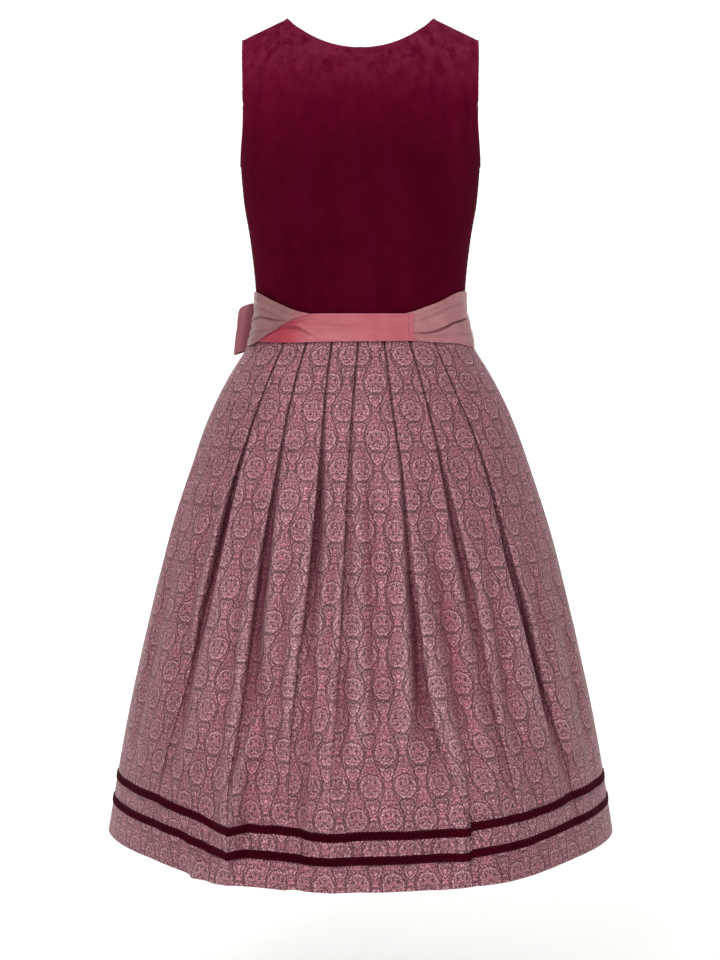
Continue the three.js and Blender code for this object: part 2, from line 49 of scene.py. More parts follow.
# Smooth curve through a table's column, by its first column, that never overshoots.
def through(rows, column, at):
    xs, ys = next(iter(rows.values())), rows[column]
    at = np.clip(np.asarray(at, float), xs[0], xs[-1])
    i = np.clip(np.searchsorted(xs, at, side="right") - 1, 0, len(xs) - 2)
    slopes = np.diff(ys) / np.diff(xs)
    tangents = np.concatenate([slopes[:1], slopes])
    for k in range(1, len(slopes)):
        a, b = slopes[k - 1], slopes[k]
        tangents[k] = 0 if a * b <= 0 else 2 * a * b / (a + b)
    span = xs[i + 1] - xs[i]
    t = (at - xs[i]) / span
    u = 1 - t
    return (
        ys[i] * u * u * (1 + 2 * t)
        + ys[i + 1] * t * t * (3 - 2 * t)
        + tangents[i] * span * t * u * u
        - tangents[i + 1] * span * t * t * u
    )


def together(*values):
    return np.broadcast_arrays(*[np.asarray(value, float) for value in values])


def smoothstep(x, low, high):
    t = np.clip((np.asarray(x, float) - low) / (high - low), 0, 1)
    return t * t * (3 - 2 * t)


def lerp(a, b, t):
    return a + (b - a) * t


def bell(x, width):
    return np.exp(-((x / width) ** 2))


# Uneven waves between -1 and 1 from a few fixed sines.
def ripple(x, y, seed=0.0):
    return (
        np.sin(x + 1.3 * np.sin(0.7 * y + seed) + seed)
        + 0.6 * np.sin(1.7 * x - 0.9 * y + 2.1 * seed)
        + 0.4 * np.sin(2.9 * x + 1.9 * y + 0.6 * seed + 1.0)
    ) / 2


def unit(vectors):
    return vectors / np.maximum(np.linalg.norm(vectors, axis=-1, keepdims=True), 1e-9)


# Outward normals of a grid of points whose columns run round the body and rows run along it.
def gridNormals(points):
    normals = unit(np.cross(np.gradient(points, axis=0), np.gradient(points, axis=1)))
    middle = points.mean(axis=(0, 1))
    if np.sum(normals * (points - middle) * [1, 1, 0]) < 0:
        normals = -normals
    return normals


# Distance of points from a line through other points.
def awayFrom(points, line):
    flat = points.reshape(-1, points.shape[-1])
    best = np.full(len(flat), 1e9)
    for a, b in zip(line[:-1], line[1:]):
        run = b - a
        t = np.clip((flat - a) @ run / max(run @ run, 1e-9), 0, 1)
        best = np.minimum(best, np.linalg.norm(flat - a - t[:, None] * run, axis=1))
    return best.reshape(points.shape[:-1])


# Object from points in millimetres, quads or triangles, a UV in metres for every face corner, and a share of
# painted shade or painted highlight for each point, kept as its fold attribute.
def buildMesh(name, points, faces, uvs, paintedLight=None):
    cross = np.cross(points[faces[:, 1]] - points[faces[:, 0]], points[faces[:, 2]] - points[faces[:, 0]])
    if np.sum(points[faces[:, 0]] * cross) < 0:
        faces, uvs = faces[:, ::-1], uvs[:, ::-1]
    mesh = bpy.data.meshes.new(name)
    corners = faces.shape[1]
    mesh.vertices.add(len(points))
    mesh.vertices.foreach_set("co", (points * mm).astype(np.float32).ravel())
    mesh.loops.add(faces.size)
    mesh.loops.foreach_set("vertex_index", faces.astype(np.int32).ravel())
    mesh.polygons.add(len(faces))
    mesh.polygons.foreach_set("loop_start", np.arange(0, faces.size, corners, dtype=np.int32))
    layer = mesh.uv_layers.new(name="cloth")
    layer.uv.foreach_set("vector", uvs.astype(np.float32).ravel())
    if paintedLight is not None:
        mesh.attributes.new("fold", "FLOAT", "POINT").data.foreach_set("value", paintedLight.astype(np.float32))
    mesh.update(calc_edges=True)
    mesh.validate()
    mesh.polygons.foreach_set("use_smooth", np.ones(len(mesh.polygons), dtype=bool))
    mesh.set_sharp_from_angle(angle=math.radians(sharpDegrees))
    piece = bpy.data.objects.new(name, mesh)
    bpy.context.scene.collection.objects.link(piece)
    return piece


# Length along the columns and along the rows of a grid, from its first column and row, in metres.
def arcLengths(points):
    across = np.linalg.norm(np.diff(points, axis=0), axis=-1)
    along = np.linalg.norm(np.diff(points, axis=1), axis=-1)
    u = np.concatenate([np.zeros((1, points.shape[1])), np.cumsum(across, axis=0)]) * mm
    v = np.concatenate([np.zeros((points.shape[0], 1)), np.cumsum(along, axis=1)], axis=1) * mm
    return u, v


# Closed wall of cloth between two grids of points. "present" says which squares of the grid there are. uvOf
# gives a corner's UV from its square's column and its own column and row.
def clothShell(name, outer, inner, uvOf=None, ring=False, present=None, paintedLight=None):
    columns, rows = outer.shape[:2]
    spans = columns if ring else columns - 1
    if present is None:
        present = np.ones((spans, rows - 1), bool)
    if uvOf is None:
        wrapped = np.concatenate([outer, outer[:1]]) if ring else outer
        lengths, heights = arcLengths(wrapped)

        def uvOf(quad, column, row):
            return lengths[column, row], heights[column, row]

    points = np.concatenate([outer.reshape(-1, 3), inner.reshape(-1, 3)])
    faces, uvs = [], []

    def add(quad, *corners):
        faces.append(
            np.stack([side * columns * rows + (col % columns) * rows + row for side, col, row in corners], 1)
        )
        uvs.append(np.stack([np.stack(uvOf(quad, col, row), -1) for _, col, row in corners], 1))

    i, j = np.nonzero(present)
    add(i, (0, i, j), (0, i + 1, j), (0, i + 1, j + 1), (0, i, j + 1))
    add(i, (1, i, j), (1, i, j + 1), (1, i + 1, j + 1), (1, i + 1, j))
    along = np.pad(present, ((0, 0), (1, 1)))
    i, r = np.nonzero(~along[:, :-1] & along[:, 1:])
    add(i, (1, i, r), (1, i + 1, r), (0, i + 1, r), (0, i, r))
    i, r = np.nonzero(along[:, :-1] & ~along[:, 1:])
    add(i, (0, i, r), (0, i + 1, r), (1, i + 1, r), (1, i, r))
    if not ring:
        across = np.pad(present, ((1, 1), (0, 0)))
        c, j = np.nonzero(~across[:-1] & across[1:])
        add(c, (1, c, j), (0, c, j), (0, c, j + 1), (1, c, j + 1))
        c, j = np.nonzero(across[:-1] & ~across[1:])
        add(c - 1, (0, c, j), (1, c, j), (1, c, j + 1), (0, c, j + 1))
    faces = np.concatenate(faces)
    used, faces = np.unique(faces, return_inverse=True)
    if paintedLight is not None:
        paintedLight = np.concatenate([paintedLight.ravel(), paintedLight.ravel()])[used]
    return buildMesh(name, points[used], faces.reshape(-1, 4), np.concatenate(uvs), paintedLight)


# Cloth of even thickness under a grid of outer points, its border rounded in by "rounded" millimetres.
def wall(name, outer, thickness, rounded):
    normals = gridNormals(outer)
    skin = outer.copy()
    for edge in ((slice(None), 0), (slice(None), -1), 0, -1):
        skin[edge] -= normals[edge] * rounded
    return clothShell(name, skin, outer - normals * thickness)


# Gives a finished piece its material and its place on the dress, and hides the part that it replaces.
def finish(piece, material, node):
    piece.data.materials.append(material)
    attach(piece, "root")
    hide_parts(node)


# Output of a node, for sums with numbers and with other outputs.
class Value:
    def __init__(self, shade, socket):
        self.shade, self.socket = shade, socket


for word, operation in (("add", "ADD"), ("sub", "SUBTRACT"), ("mul", "MULTIPLY"), ("truediv", "DIVIDE")):
    setattr(Value, f"__{word}__", lambda a, b, kind=operation: a.shade.math(kind, a, b))
    setattr(Value, f"__r{word}__", lambda a, b, kind=operation: a.shade.math(kind, b, a))


# Writes the node tree of one material.
class Shade:
    def __init__(self, name):
        self.material = bpy.data.materials.new(name)
        self.material.use_nodes = True
        self.tree = self.material.node_tree
        self.tree.nodes.clear()
        self.output = self.tree.nodes.new("ShaderNodeOutputMaterial")
        self.surface = self.tree.nodes.new("ShaderNodeBsdfPrincipled")
        self.tree.links.new(self.surface.outputs[0], self.output.inputs[0])
        self.coords = self.tree.nodes.new("ShaderNodeTexCoord")
        self.uv = self.coords.outputs["UV"]
        self.place = self.coords.outputs["Object"]

    def node(self, kind, settings=None, **inputs):
        made = self.tree.nodes.new(kind)
        for key, value in (settings or {}).items():
            setattr(made, key, value)
        for key, value in inputs.items():
            self.put(made.inputs[key.replace("_", " ")], value)
        return made

    def put(self, socket, value):
        if isinstance(value, Value):
            value = value.socket
        if isinstance(value, bpy.types.NodeSocket):
            self.tree.links.new(value, socket)
        else:
            socket.default_value = value

    def math(self, operation, *values, clamp=False):
        made = self.tree.nodes.new("ShaderNodeMath")
        made.operation = operation
        made.use_clamp = clamp
        for socket, value in zip(made.inputs, values):
            self.put(socket, value)
        return Value(self, made.outputs[0])

    def high(self, a, b):
        return self.math("MAXIMUM", a, b)

    def size(self, a):
        return self.math("ABSOLUTE", a)

    def sine(self, a):
        return self.math("SINE", a)

    def span(self, value, fromLow, fromHigh, toLow=0.0, toHigh=1.0, smooth=True):
        made = self.node("ShaderNodeMapRange", {"interpolation_type": "SMOOTHSTEP" if smooth else "LINEAR"})
        for socket, number in zip(made.inputs, (value, fromLow, fromHigh, toLow, toHigh)):
            self.put(socket, number)
        return Value(self, made.outputs[0])

    # Share of painted shade or painted highlight kept in the mesh's fold attribute.
    def paintedLightMask(self):
        return Value(self, self.node("ShaderNodeAttribute", {"attribute_name": "fold"}).outputs["Fac"])

    def split(self, vector):
        return [Value(self, part) for part in self.node("ShaderNodeSeparateXYZ", Vector=vector).outputs]

    def noise(self, vector, scale, detail=2.0, roughness=0.5):
        made = self.node("ShaderNodeTexNoise", Vector=vector, Scale=scale, Detail=detail, Roughness=roughness)
        return Value(self, made.outputs["Fac"])

    def scaled(self, vector, by):
        made = self.node("ShaderNodeMapping")
        self.put(made.inputs["Vector"], vector)
        made.inputs["Scale"].default_value = by
        return made.outputs[0]

    def mix(self, factor, a, b):
        made = self.node("ShaderNodeMix", {"data_type": "RGBA"})
        for socket, value in ((0, factor), (6, a), (7, b)):
            self.put(made.inputs[socket], value)
        return made.outputs[2]

    def bump(self, height, distance, strength=1.0, under=None):
        made = self.node("ShaderNodeBump", Height=height)
        made.inputs["Strength"].default_value = strength
        made.inputs["Distance"].default_value = distance
        if under is not None:
            self.put(made.inputs["Normal"], under)
        return made.outputs[0]

    def set(self, **values):
        for key, value in values.items():
            self.put(self.surface.inputs[key.replace("_", " ")], value)


# Linear colour from a hex code of screen values.
def colour(text):
    screen = [int(text[k : k + 2], 16) / 255 for k in (0, 2, 4)]
    return [c / 12.92 if c <= 0.04045 else ((c + 0.055) / 1.055) ** 2.4 for c in screen] + [1.0]


velvetLook = {
    "deep": "3e0010",
    "pile": "680828",
    "edge": "6e1c36",
    "cool": "48001c",
    "paintedTopPatchColour": "7a2c46",
    "napScale": 26.0,
    "broadScale": 7.0,
    "pileScale": 1500.0,
    "patchScale": 75.0,
    "streakScale": 55.0,
    "streaks": 0.55,
    "paintedTopPatchShare": 0.42,
    "rimSheenShare": 0.6,
    "roughness": 0.9,
    "sheen": 0.08,
    "sheenTint": "9a1440",
    "shoulders": 0.55,
    "napDepth": 0.0012,
    "pileDepth": 0.0003,
}


def velvet(name, look):
    s = Shade(name)
    x, _, height = s.split(s.place)
    nap = s.noise(s.scaled(s.place, (1.0, 1.0, 0.45)), look["napScale"], 3.0, 0.6)
    broad = s.noise(s.place, look["broadScale"], 2.0)
    # Painted light: the velvet is lighter towards the top, as if lit from above, and lighter at the sides, a
    # painted sheen.
    lift = s.span(height, -0.19, -0.02)
    side = s.span(s.size(x), 0.075, 0.135)
    pressed = s.span(nap * 0.6 + broad * 0.7, 0.45, 0.85)
    share = s.math("ADD", pressed * 0.16, lift * look["shoulders"] + side * 0.14, clamp=True)
    pile = s.noise(s.scaled(s.place, (1.0, 1.0, 0.5)), look["pileScale"], 2.0)
    patches = s.noise(s.scaled(s.place, (1.0, 1.0, 0.7)), look["patchScale"], 3.0, 0.65)
    share = s.math("ADD", share, (pile - 0.5) * 0.5 + (patches - 0.5) * (0.35 + lift * 0.5), clamp=True)
    shade = s.mix(share, colour(look["deep"]), colour(look["pile"]))
    # Painted sheen: faint purple streaks running down the nap.
    streaks = s.noise(s.scaled(s.place, (1.0, 1.0, 0.14)), look["streakScale"], 2.0, 0.5)
    shade = s.mix(s.span(streaks, 0.5, 0.72) * look["streaks"], shade, colour(look["cool"]))
    # Painted light from above: paler patches towards the top of the bodice.
    paintedTopPatches = s.span(height, -0.1, -0.01) * s.span(patches * 0.7 + broad * 0.4, 0.42, 0.68)
    shade = s.mix(paintedTopPatches * look["paintedTopPatchShare"], shade, colour(look["paintedTopPatchColour"]))
    # Painted sheen on the rolled edges at the neckline and armholes.
    s.set(Base_Color=s.mix(s.paintedLightMask() * look["rimSheenShare"], shade, colour(look["edge"])))
    s.set(Roughness=look["roughness"], Sheen_Weight=look["sheen"], Sheen_Roughness=0.5)
    s.set(Sheen_Tint=colour(look["sheenTint"]), Specular_IOR_Level=0.03)
    brushed = s.bump(nap, look["napDepth"], 0.35)
    s.set(Normal=s.bump(pile, look["pileDepth"], 0.5, brushed))
    return s.material


# Damask: two sets of columns half a repeat apart, each with a round medallion, a heart under it and a fan over
# it. Sizes in millimetres.
damaskLook = {
    "ground": "5c122a",
    "figure": "c47785",
    "bright": "e8bfc6",
    "line": "320814",
    "crestHighlight": "d6a6ae",
    "shadow": "6c1832",
    "column": 20.5,
    "sway": 5.4,
    "repeat": 75.0,
    "medallion": 13.6,
    "heartDown": 24.6,
    "crestHighlightShare": 0.46,
    "shadowShare": 0.66,
    "grain": 760.0,
    "thread": 1500.0,
    "patches": 40.0,
    "leaves": 300.0,
    "metallic": 0.18,
    "relief": 0.0005,
}


def damask(name, look):
    s = Shade(name)
    u, v, _ = s.split(s.uv)
    u, v = u * 1000.0, v * -1000.0
    pitch, repeat = look["column"], look["repeat"]
    wobble = s.noise(s.uv, 260.0, 2.0, 0.6)

    def wrapped(value):
        return s.math("WRAP", value, repeat / 2, -repeat / 2)

    def oval(x, y, cx, cy, rx, ry):
        dx, dy = (x - cx) / rx, (y - cy) / ry
        return s.math("SQRT", dx * dx + dy * dy)

    def line(distance, at, half):
        return s.span(s.size(distance - at), half, half * 0.3)

    def most(*values):
        best = values[0]
        for value in values[1:]:
            best = s.high(best, value)
        return best

    # Light threads, dark threads and the silky area of one figure.
    def figure(x, y):
        turn = s.math("ARCTAN2", y, x)
        size = look["medallion"]
        r = oval(x, y, 0, 0, size, size * 1.04) + s.sine(turn * 9.0) * 0.035
        inside = s.span(r, 1.0, 0.94)
        petals = s.span(s.sine(turn * 8.0 + r * 9.0), -0.1, 0.6) * line(r, 0.5, 0.3)
        dots = most(
            s.span(oval(x, y, 5.6, -3.6, 1.6, 3.0), 1.15, 0.7),
            s.span(oval(x, y, 3.6, 5.0, 1.9, 1.5), 1.15, 0.7),
            s.span(oval(x, y, 0.0, -7.4, 0.9, 1.9), 1.1, 0.7),
            s.span(oval(x, y, 0.0, 1.2, 1.3, 2.3), 1.1, 0.7) * 0.8,
        )
        heart = oval(x, y + x * 0.62, 0, look["heartDown"], 8.4, 7.6)
        rays = s.span(s.sine(turn * 21.0), 0.0, 0.6) * line(r, 1.2, 0.16)
        rays = rays * s.span(s.size(y), 0.0, 4.0, 0.0, 0.6)
        above = s.span(y, -14.0, -17.0)
        fan = oval(x, y, 0, -16.5, 11.0, 18.5)
        blades = s.span(s.sine(s.math("ARCTAN2", y + 14.5, x) * 11.0), 0.1, 0.7) * line(fan, 0.6, 0.42) * above
        light = most(
            line(r, 0.84, 0.12) * 0.9, petals * 0.8, line(heart, 0.8, 0.14), s.span(heart, 0.34, 0.1),
            line(fan, 0.86, 0.13) * (above * 0.7),
        )
        dark = most(
            line(r, 1.02, 0.1) * s.span(wobble, 0.34, 0.5, 0.45, 1.0), line(r, 0.66, 0.05) * 0.8, dots,
            line(heart, 1.05, 0.14), line(heart, 0.52, 0.1) * 0.8,
            s.span(s.sine(turn * 13.0), 0.2, 0.8) * line(r, 0.4, 0.22) * 0.6, rays, blades * 0.6,
            line(fan, 1.03, 0.075) * (above * 0.9),
        )
        return light, dark, s.high(inside, s.span(heart, 1.0, 0.9))

    x = s.math("PINGPONG", u + (wobble - 0.5) * 0.9, pitch)
    y = wrapped(v)
    other = pitch - x, wrapped(v + repeat / 2)
    border = pitch / 2 + s.math("COSINE", v * (2 * math.pi / repeat)) * look["sway"]
    near = s.span(border - x, -0.25, 0.25)
    light, dark, silk = [a * near + b * (1.0 - near) for a, b in zip(figure(x, y), figure(*other))]
    leafPlace = s.node(
        "ShaderNodeCombineXYZ", X=x * 0.001 + s.sine(y * 0.5) * 0.0012, Y=y * 0.0008, Z=near,
    ).outputs[0]
    leaves = s.node(
        "ShaderNodeTexVoronoi", {"feature": "DISTANCE_TO_EDGE"}, Vector=leafPlace, Scale=look["leaves"],
    ).outputs["Distance"]
    veins = s.span(leaves, 0.13, 0.05) * (1.0 - silk * 0.1)
    ogee = s.span(s.size(border - x), 1.25, 0.5) * s.span(wobble, 0.32, 0.44)
    dark = most(dark, veins * 0.85)
    grain = s.noise(s.scaled(s.uv, (1.0, 0.72, 1.0)), look["grain"], 3.0, 0.75)
    thread = s.noise(s.scaled(s.uv, (1.0, 0.3, 1.0)), look["thread"], 1.0, 0.5)
    patchy = s.noise(s.uv, look["patches"], 2.0, 0.5)
    dark = s.math("MULTIPLY", dark, s.span(grain, 0.66, 0.46, 0.45, 1.0), clamp=True)
    dark = s.high(dark, ogee * 0.85)
    silky = 0.66 + (patchy - 0.5) * 0.9
    silky = s.math("ADD", silky, (grain - 0.5) * 3.2 + (thread - 0.5) * 0.8, clamp=True)
    shade = s.mix(silky, colour(look["ground"]), colour(look["figure"]))
    sparkle = s.span(grain + light * 0.05, 0.52, 0.66)
    shining = s.math("ADD", light * s.span(wobble, 0.45, 0.62) * 0.3, sparkle * 0.72, clamp=True)
    shade = s.mix(shining, shade, colour(look["bright"]))
    # Painted highlight on the crests beside the pleats, painted shade deep in the folds.
    paintedLightMask = s.paintedLightMask()
    shade = s.mix(s.span(paintedLightMask, -0.05, -0.9, 0.0, look["crestHighlightShare"], False), shade, colour(look["crestHighlight"]))
    shade = s.mix(dark * 0.96, shade, colour(look["line"]))
    shade = s.mix(s.span(paintedLightMask, 0.08, 1.0, 0.0, look["shadowShare"], False), shade, colour(look["shadow"]))
    s.set(
        Base_Color=shade, Metallic=look["metallic"], Roughness=s.span(silky - dark, -0.4, 0.9, 0.6, 0.4, False),
    )
    s.set(Specular_IOR_Level=0.4, Sheen_Weight=0.05, Sheen_Roughness=0.4, Sheen_Tint=colour("e8c8cc"))
    height = silky * 0.5 - dark * 0.7 + grain * 0.5
    s.set(Normal=s.bump(height, look["relief"], 0.55))
    return s.material


# Satin of the ties. "turn" gives the x in metres, and the colours beyond it: the coral tie turns darker and
# redder beyond it, painted shade, and the left tie turns pinker towards the middle.
# Painted shade colour for the creases of the ties.
satinCreaseShade = "5a2430"
satinLooks = {
    "dull": {"warp": "b67f81", "weft": "945c60", "roughness": 0.42},
    "bright": {
        "warp": "bb646c", "weft": "a04a55", "roughness": 0.4, "turn": (-0.062, -0.092), "warpBeyond": "ac404e",
        "weftBeyond": "90293a",
    },
    "left": {
        "warp": "9a6d6d", "weft": "7a4b4e", "roughness": 0.42, "turn": (-0.092, -0.064), "warpBeyond": "b86a6f",
        "weftBeyond": "954e56",
    },
    "bow": {"warp": "a2636c", "weft": "844551", "roughness": 0.42},
}


def satin(name, look):
    s = Shade(name)
    slub = s.noise(s.scaled(s.uv, (60.0, 1400.0, 1.0)), 1.0, 3.0, 0.6)
    fine = s.noise(s.scaled(s.uv, (1800.0, 160.0, 1.0)), 1.0, 2.0, 0.6)
    broad = s.noise(s.uv, 22.0, 2.0)
    slubby = s.span(slub, 0.35, 0.7) * 0.45
    share = s.math("ADD", slubby, s.span(fine, 0.4, 0.7) * 0.25 + s.span(broad, 0.35, 0.7) * 0.3, clamp=True)
    shade = s.mix(share, colour(look["weft"]), colour(look["warp"]))
    # Painted shade on the coral tie's left end; a pinker middle on the left tie.
    if "turn" in look:
        beyond = s.mix(share, colour(look["weftBeyond"]), colour(look["warpBeyond"]))
        shade = s.mix(s.span(s.split(s.place)[0], *look["turn"]), shade, beyond)
    # Painted shade in the creases of the ties.
    paintedLightMask = s.paintedLightMask()
    shade = s.mix(paintedLightMask * 0.6, shade, colour(satinCreaseShade))
    s.set(Base_Color=shade)
    s.set(Roughness=s.span(slub, 0.3, 0.7, look["roughness"] + 0.08, look["roughness"] - 0.04))
    s.set(Specular_IOR_Level=0.35, Sheen_Weight=0.15, Sheen_Roughness=0.35, Sheen_Tint=colour("e0c0bc"))
    s.set(Normal=s.bump(slub + fine, 0.0002, 0.5))
    return s.material


velvetMaterial = velvet("velvet", velvetLook)
ribbonMaterial = velvet(
    "velvet_ribbon",
    velvetLook | {"deep": "2a000a", "pile": "4c0818", "cool": "2a000a", "sheen": 0.05, "napScale": 90.0},
)
damaskMaterial = damask("jacquard", damaskLook)
satinNames = {"dull": "apron_satin", "left": "left_tie_satin", "bright": "coral_satin", "bow": "bow_satin"}
satins = {key: satin(name, satinLooks[key]) for key, name in satinNames.items()}
print("stage: materials")

# Form of the body of the dress, in millimetres.
body = {
    "neckPointHeight": 14.0,
    "neckHalfWidth": 92.5,
    "shoulderSlope": 0.476,
    "waistHeight": -375.0,
    "skirtDrop": 649.0,
    "bodiceWall": 1.8,
    "skirtWall": 1.8,
    "tieWall": 1.0,
}
torsoRows = table(
    "level z halfWidth backDepth frontDepth",
    (0, body["waistHeight"], 133, 93, 93), (1, -325, 134.3, 94, 98), (2, -265, 140, 97, 108),
    (3, -215, 148, 99, 115), (4, -172, 151.5, 99, 113), (5, -120, 153.6, 95, 99), (6, -70, 159.8, 81, 81),
    (7, -30, 162.6, 60, 60), (8, -2, 163.5, 35, 35), (9, 10.5, 163.5, 14, 14),
    (10, body["neckPointHeight"], 163.5, 0.15, 0.15),
)
underarmLevel, junctionLevel, shoulderLevel = 4, 5.65, 10
bust = {"rise": 13, "apart": 78, "height": -212, "wide": 42, "tall": 48}
panelEdgeRows = table(
    "level back front",
    (0, 31, 27), (1, 31, 29), (2, 31, 31.5), (3, 31.5, 33.7), (4, 33, 35), (4.5, 35, 37.5), (4.8, 38.5, 40.5),
    (5.05, 43.5, 44), (5.3, 52, 48.5), (5.5, 61.5, 53), (junctionLevel, 68.5, 57), (6.3, 66.6, 54),
    (7, 65.7, 54.5), (8, 65.7, 59), (9, 65.8, 63), (shoulderLevel, 65.9, 65.9),
)
neckShare = 0.5235
neckRows = table(
    "share back front",
    (0, 7, 4.85), (0.5, 7.32, 4.98), (0.75, 7.8, 5.35), (0.9, 8.4, 6.15), (0.97, 9.1, 7.4), (1, 10, 10),
)
armholeCurve = 1.8


def torsoPoint(angle, level):
    angle, level = together(angle, level)
    turn = np.radians(angle)
    isBack = np.cos(turn) >= 0
    halfWidth = through(torsoRows, "halfWidth", level)
    depth = np.where(isBack, through(torsoRows, "backDepth", level), through(torsoRows, "frontDepth", level))
    x = halfWidth * np.sin(turn)
    slopeShare = smoothstep(level, underarmLevel, 8)
    fall = np.maximum(0, np.abs(x) - body["neckHalfWidth"]) * body["shoulderSlope"] * slopeShare
    z = through(torsoRows, "z", level) - fall
    y = -depth * np.cos(turn)
    across = (np.abs(x) - bust["apart"]) / bust["wide"]
    along = (z - bust["height"]) / bust["tall"]
    swell = bust["rise"] * np.exp(-(across**2) - along**2) * smoothstep(y, 0, 40)
    return np.stack([x, np.where(isBack, y, y + swell), z], -1)


def levelAt(z):
    levels = np.linspace(0, shoulderLevel, 2001)
    return np.interp(z, through(torsoRows, "z", levels), levels)


# Bodice.
bodice = {
    "pullDepth": 1.0,
    "waistCreases": 1.2,
    "seamDip": 0.6,
    "seamWidth": 2.4,
    "pucker": 0.22,
    "puckerPitch": 8.5,
    "seamReach": 9.0,
    "roll": 0.75,
    "rollWidth": 1.9,
    "groove": 0.35,
    "grooveAt": 4.2,
    "grooveWidth": 0.9,
    "rimSheenWidth": 2.2,
}
# Soft pulls in the velvet of each side, from one x and z to another.
pulls = {
    "back": table(
        "x1 z1 x2 z2 depth wide", (-116, -108, -80, -146, 1.0, 3.4), (143, -90, 96, -119, 0.9, 3.2),
        (-118, -250, -96, -318, 0.7, 5.0), (121, -262, 92, -330, 0.7, 5.5), (-30, -300, -24, -372, 0.6, 6.0),
        (38, -288, 46, -370, 0.5, 6.5),
    ),
    "front": table(
        "x1 z1 x2 z2 depth wide", (-118, -112, -96, -160, 0.9, 3.4), (124, -104, 98, -152, 0.8, 3.6),
        (-92, -262, -60, -330, 0.8, 5.0), (86, -258, 64, -336, 0.7, 5.5),
    ),
}


def neckLevel(side, share):
    rows = {"share": neckRows["share"] ** 2, side: neckRows[side]}
    return through(rows, side, np.asarray(share) ** 2)


def bodicePanel(name, grid, side, node):
    angles, levels, present, rims = grid
    points = torsoPoint(angles, levels)
    step = torsoPoint(angles + 0.05, levels) - torsoPoint(angles - 0.05, levels)
    upper = torsoPoint(angles, np.minimum(levels + 0.02, shoulderLevel))
    lower = torsoPoint(angles, np.maximum(levels - 0.02, 0))
    normals = unit(np.cross(step, upper - lower))
    if np.sum(normals * points * [1, 1, 0]) < 0:
        normals = -normals
    top = levels > shoulderLevel - 0.3
    normals[top] = unit(normals[top] * [1, 0, 1])
    x, z = points[..., 0], points[..., 2]
    crease = 0.5 + 0.5 * ripple(x / 13.0, z / 90.0, 0.4)
    crease = -bodice["waistCreases"] * smoothstep(z, -250, -345) * crease
    flat = points[..., [0, 2]]
    rows = pulls[side]
    for x1, z1, x2, z2, depth, wide in zip(*rows.values()):
        ends = np.array([[x1, z1], [x2, z2]], float)
        along = np.clip((flat - ends[0]) @ (ends[1] - ends[0]) / np.sum((ends[1] - ends[0]) ** 2), 0, 1)
        pull = bodice["pullDepth"] * depth * bell(awayFrom(flat, ends), wide)
        crease = crease - pull * np.sin(np.pi * along) ** 0.5
    for seam in (points[0], points[-1]):
        away = awayFrom(points, seam)
        phase = z * 2 * np.pi / bodice["puckerPitch"] + 2 * np.sin(z / 31)
        pucker = bodice["pucker"] * bell(away, bodice["seamReach"]) * np.sin(phase)
        crease = crease + pucker - bodice["seamDip"] * bell(away, bodice["seamWidth"])
    # Painted sheen along the rolled rims, kept in the fold attribute.
    paintedLight = np.zeros(z.shape)
    for take in rims:
        line = points[take]
        away = awayFrom(points, line)
        groove = bodice["groove"] * bell(away - bodice["grooveAt"], bodice["grooveWidth"])
        crease = crease + bodice["roll"] * bell(away, bodice["rollWidth"]) - groove
        paintedLight = np.maximum(paintedLight, bell(away, bodice["rimSheenWidth"]))
    outer = points + normals * crease[..., None]
    inner = outer - normals * body["bodiceWall"]
    within = np.minimum if side == "back" else np.maximum
    for grown in (outer, inner):
        grown[..., 1] = within(grown[..., 1], 0)
    piece = clothShell(name, outer, inner, present=present, paintedLight=paintedLight)
    finish(piece, velvetMaterial, node)


# Centre panel from the middle to the long seam: columns that end at the neckline, then those of the strap.
def centreGrid(side, place, both):
    turn = {"back": 8.0, "front": 5.3}[side]
    fine = np.linspace(0, 1, 2001)
    shareAt = np.interp(np.linspace(turn, shoulderLevel, 200), neckLevel(side, fine), fine)
    knots = panelEdgeRows["level"]
    below, above = np.linspace(0, turn, 84), np.linspace(turn, shoulderLevel, 26)
    levels = np.unique(np.concatenate([below, above, knots, [underarmLevel]]))
    corner = neckShare * shareAt[0]
    flatShare = np.linspace(0, corner, 30)[:, None]
    top = neckLevel(side, flatShare / neckShare)
    share = np.clip((levels - underarmLevel) / (turn - underarmLevel), 0, 1)
    squeezed = np.where(levels <= underarmLevel, levels, lerp(underarmLevel, top, share))
    inside = neckShare * np.interp(levels, np.linspace(turn, shoulderLevel, 200), shareAt)
    strapShare = lerp(inside, 1.0, np.linspace(0, 1, 34)[1:, None])
    shares = np.concatenate([np.broadcast_to(flatShare, squeezed.shape), strapShare])
    grown = np.concatenate([squeezed, np.broadcast_to(levels, strapShare.shape)])
    last = len(flatShare) - 1
    above = levels > turn
    shares[last, above], grown[last, above] = inside[above], levels[above]
    angle = shares * through(panelEdgeRows, side, grown)
    present = np.ones((len(shares) - 1, len(levels) - 1), bool)
    rowAt = int(np.searchsorted(levels, turn))
    present[:last, rowAt:] = False
    flatTop = [(k, rowAt) for k in range(last)]
    strapIn = [(last, r) for r in range(rowAt, len(levels))]
    arm = [(len(shares) - 1, r) for r in range(int(np.searchsorted(levels, junctionLevel)), len(levels))]
    rims = [flatTop + strapIn, arm]
    if both:
        count = len(shares) - 1
        angle = np.concatenate([-angle[:0:-1], angle])
        grown = np.concatenate([grown[:0:-1], grown])
        present = np.concatenate([present[::-1], present])
        rims = [[(count + way * k, r) for k, r in rim] for rim in rims for way in (-1, 1)]
    return place(angle), grown, present, [tuple(np.array(rim).T) for rim in rims]


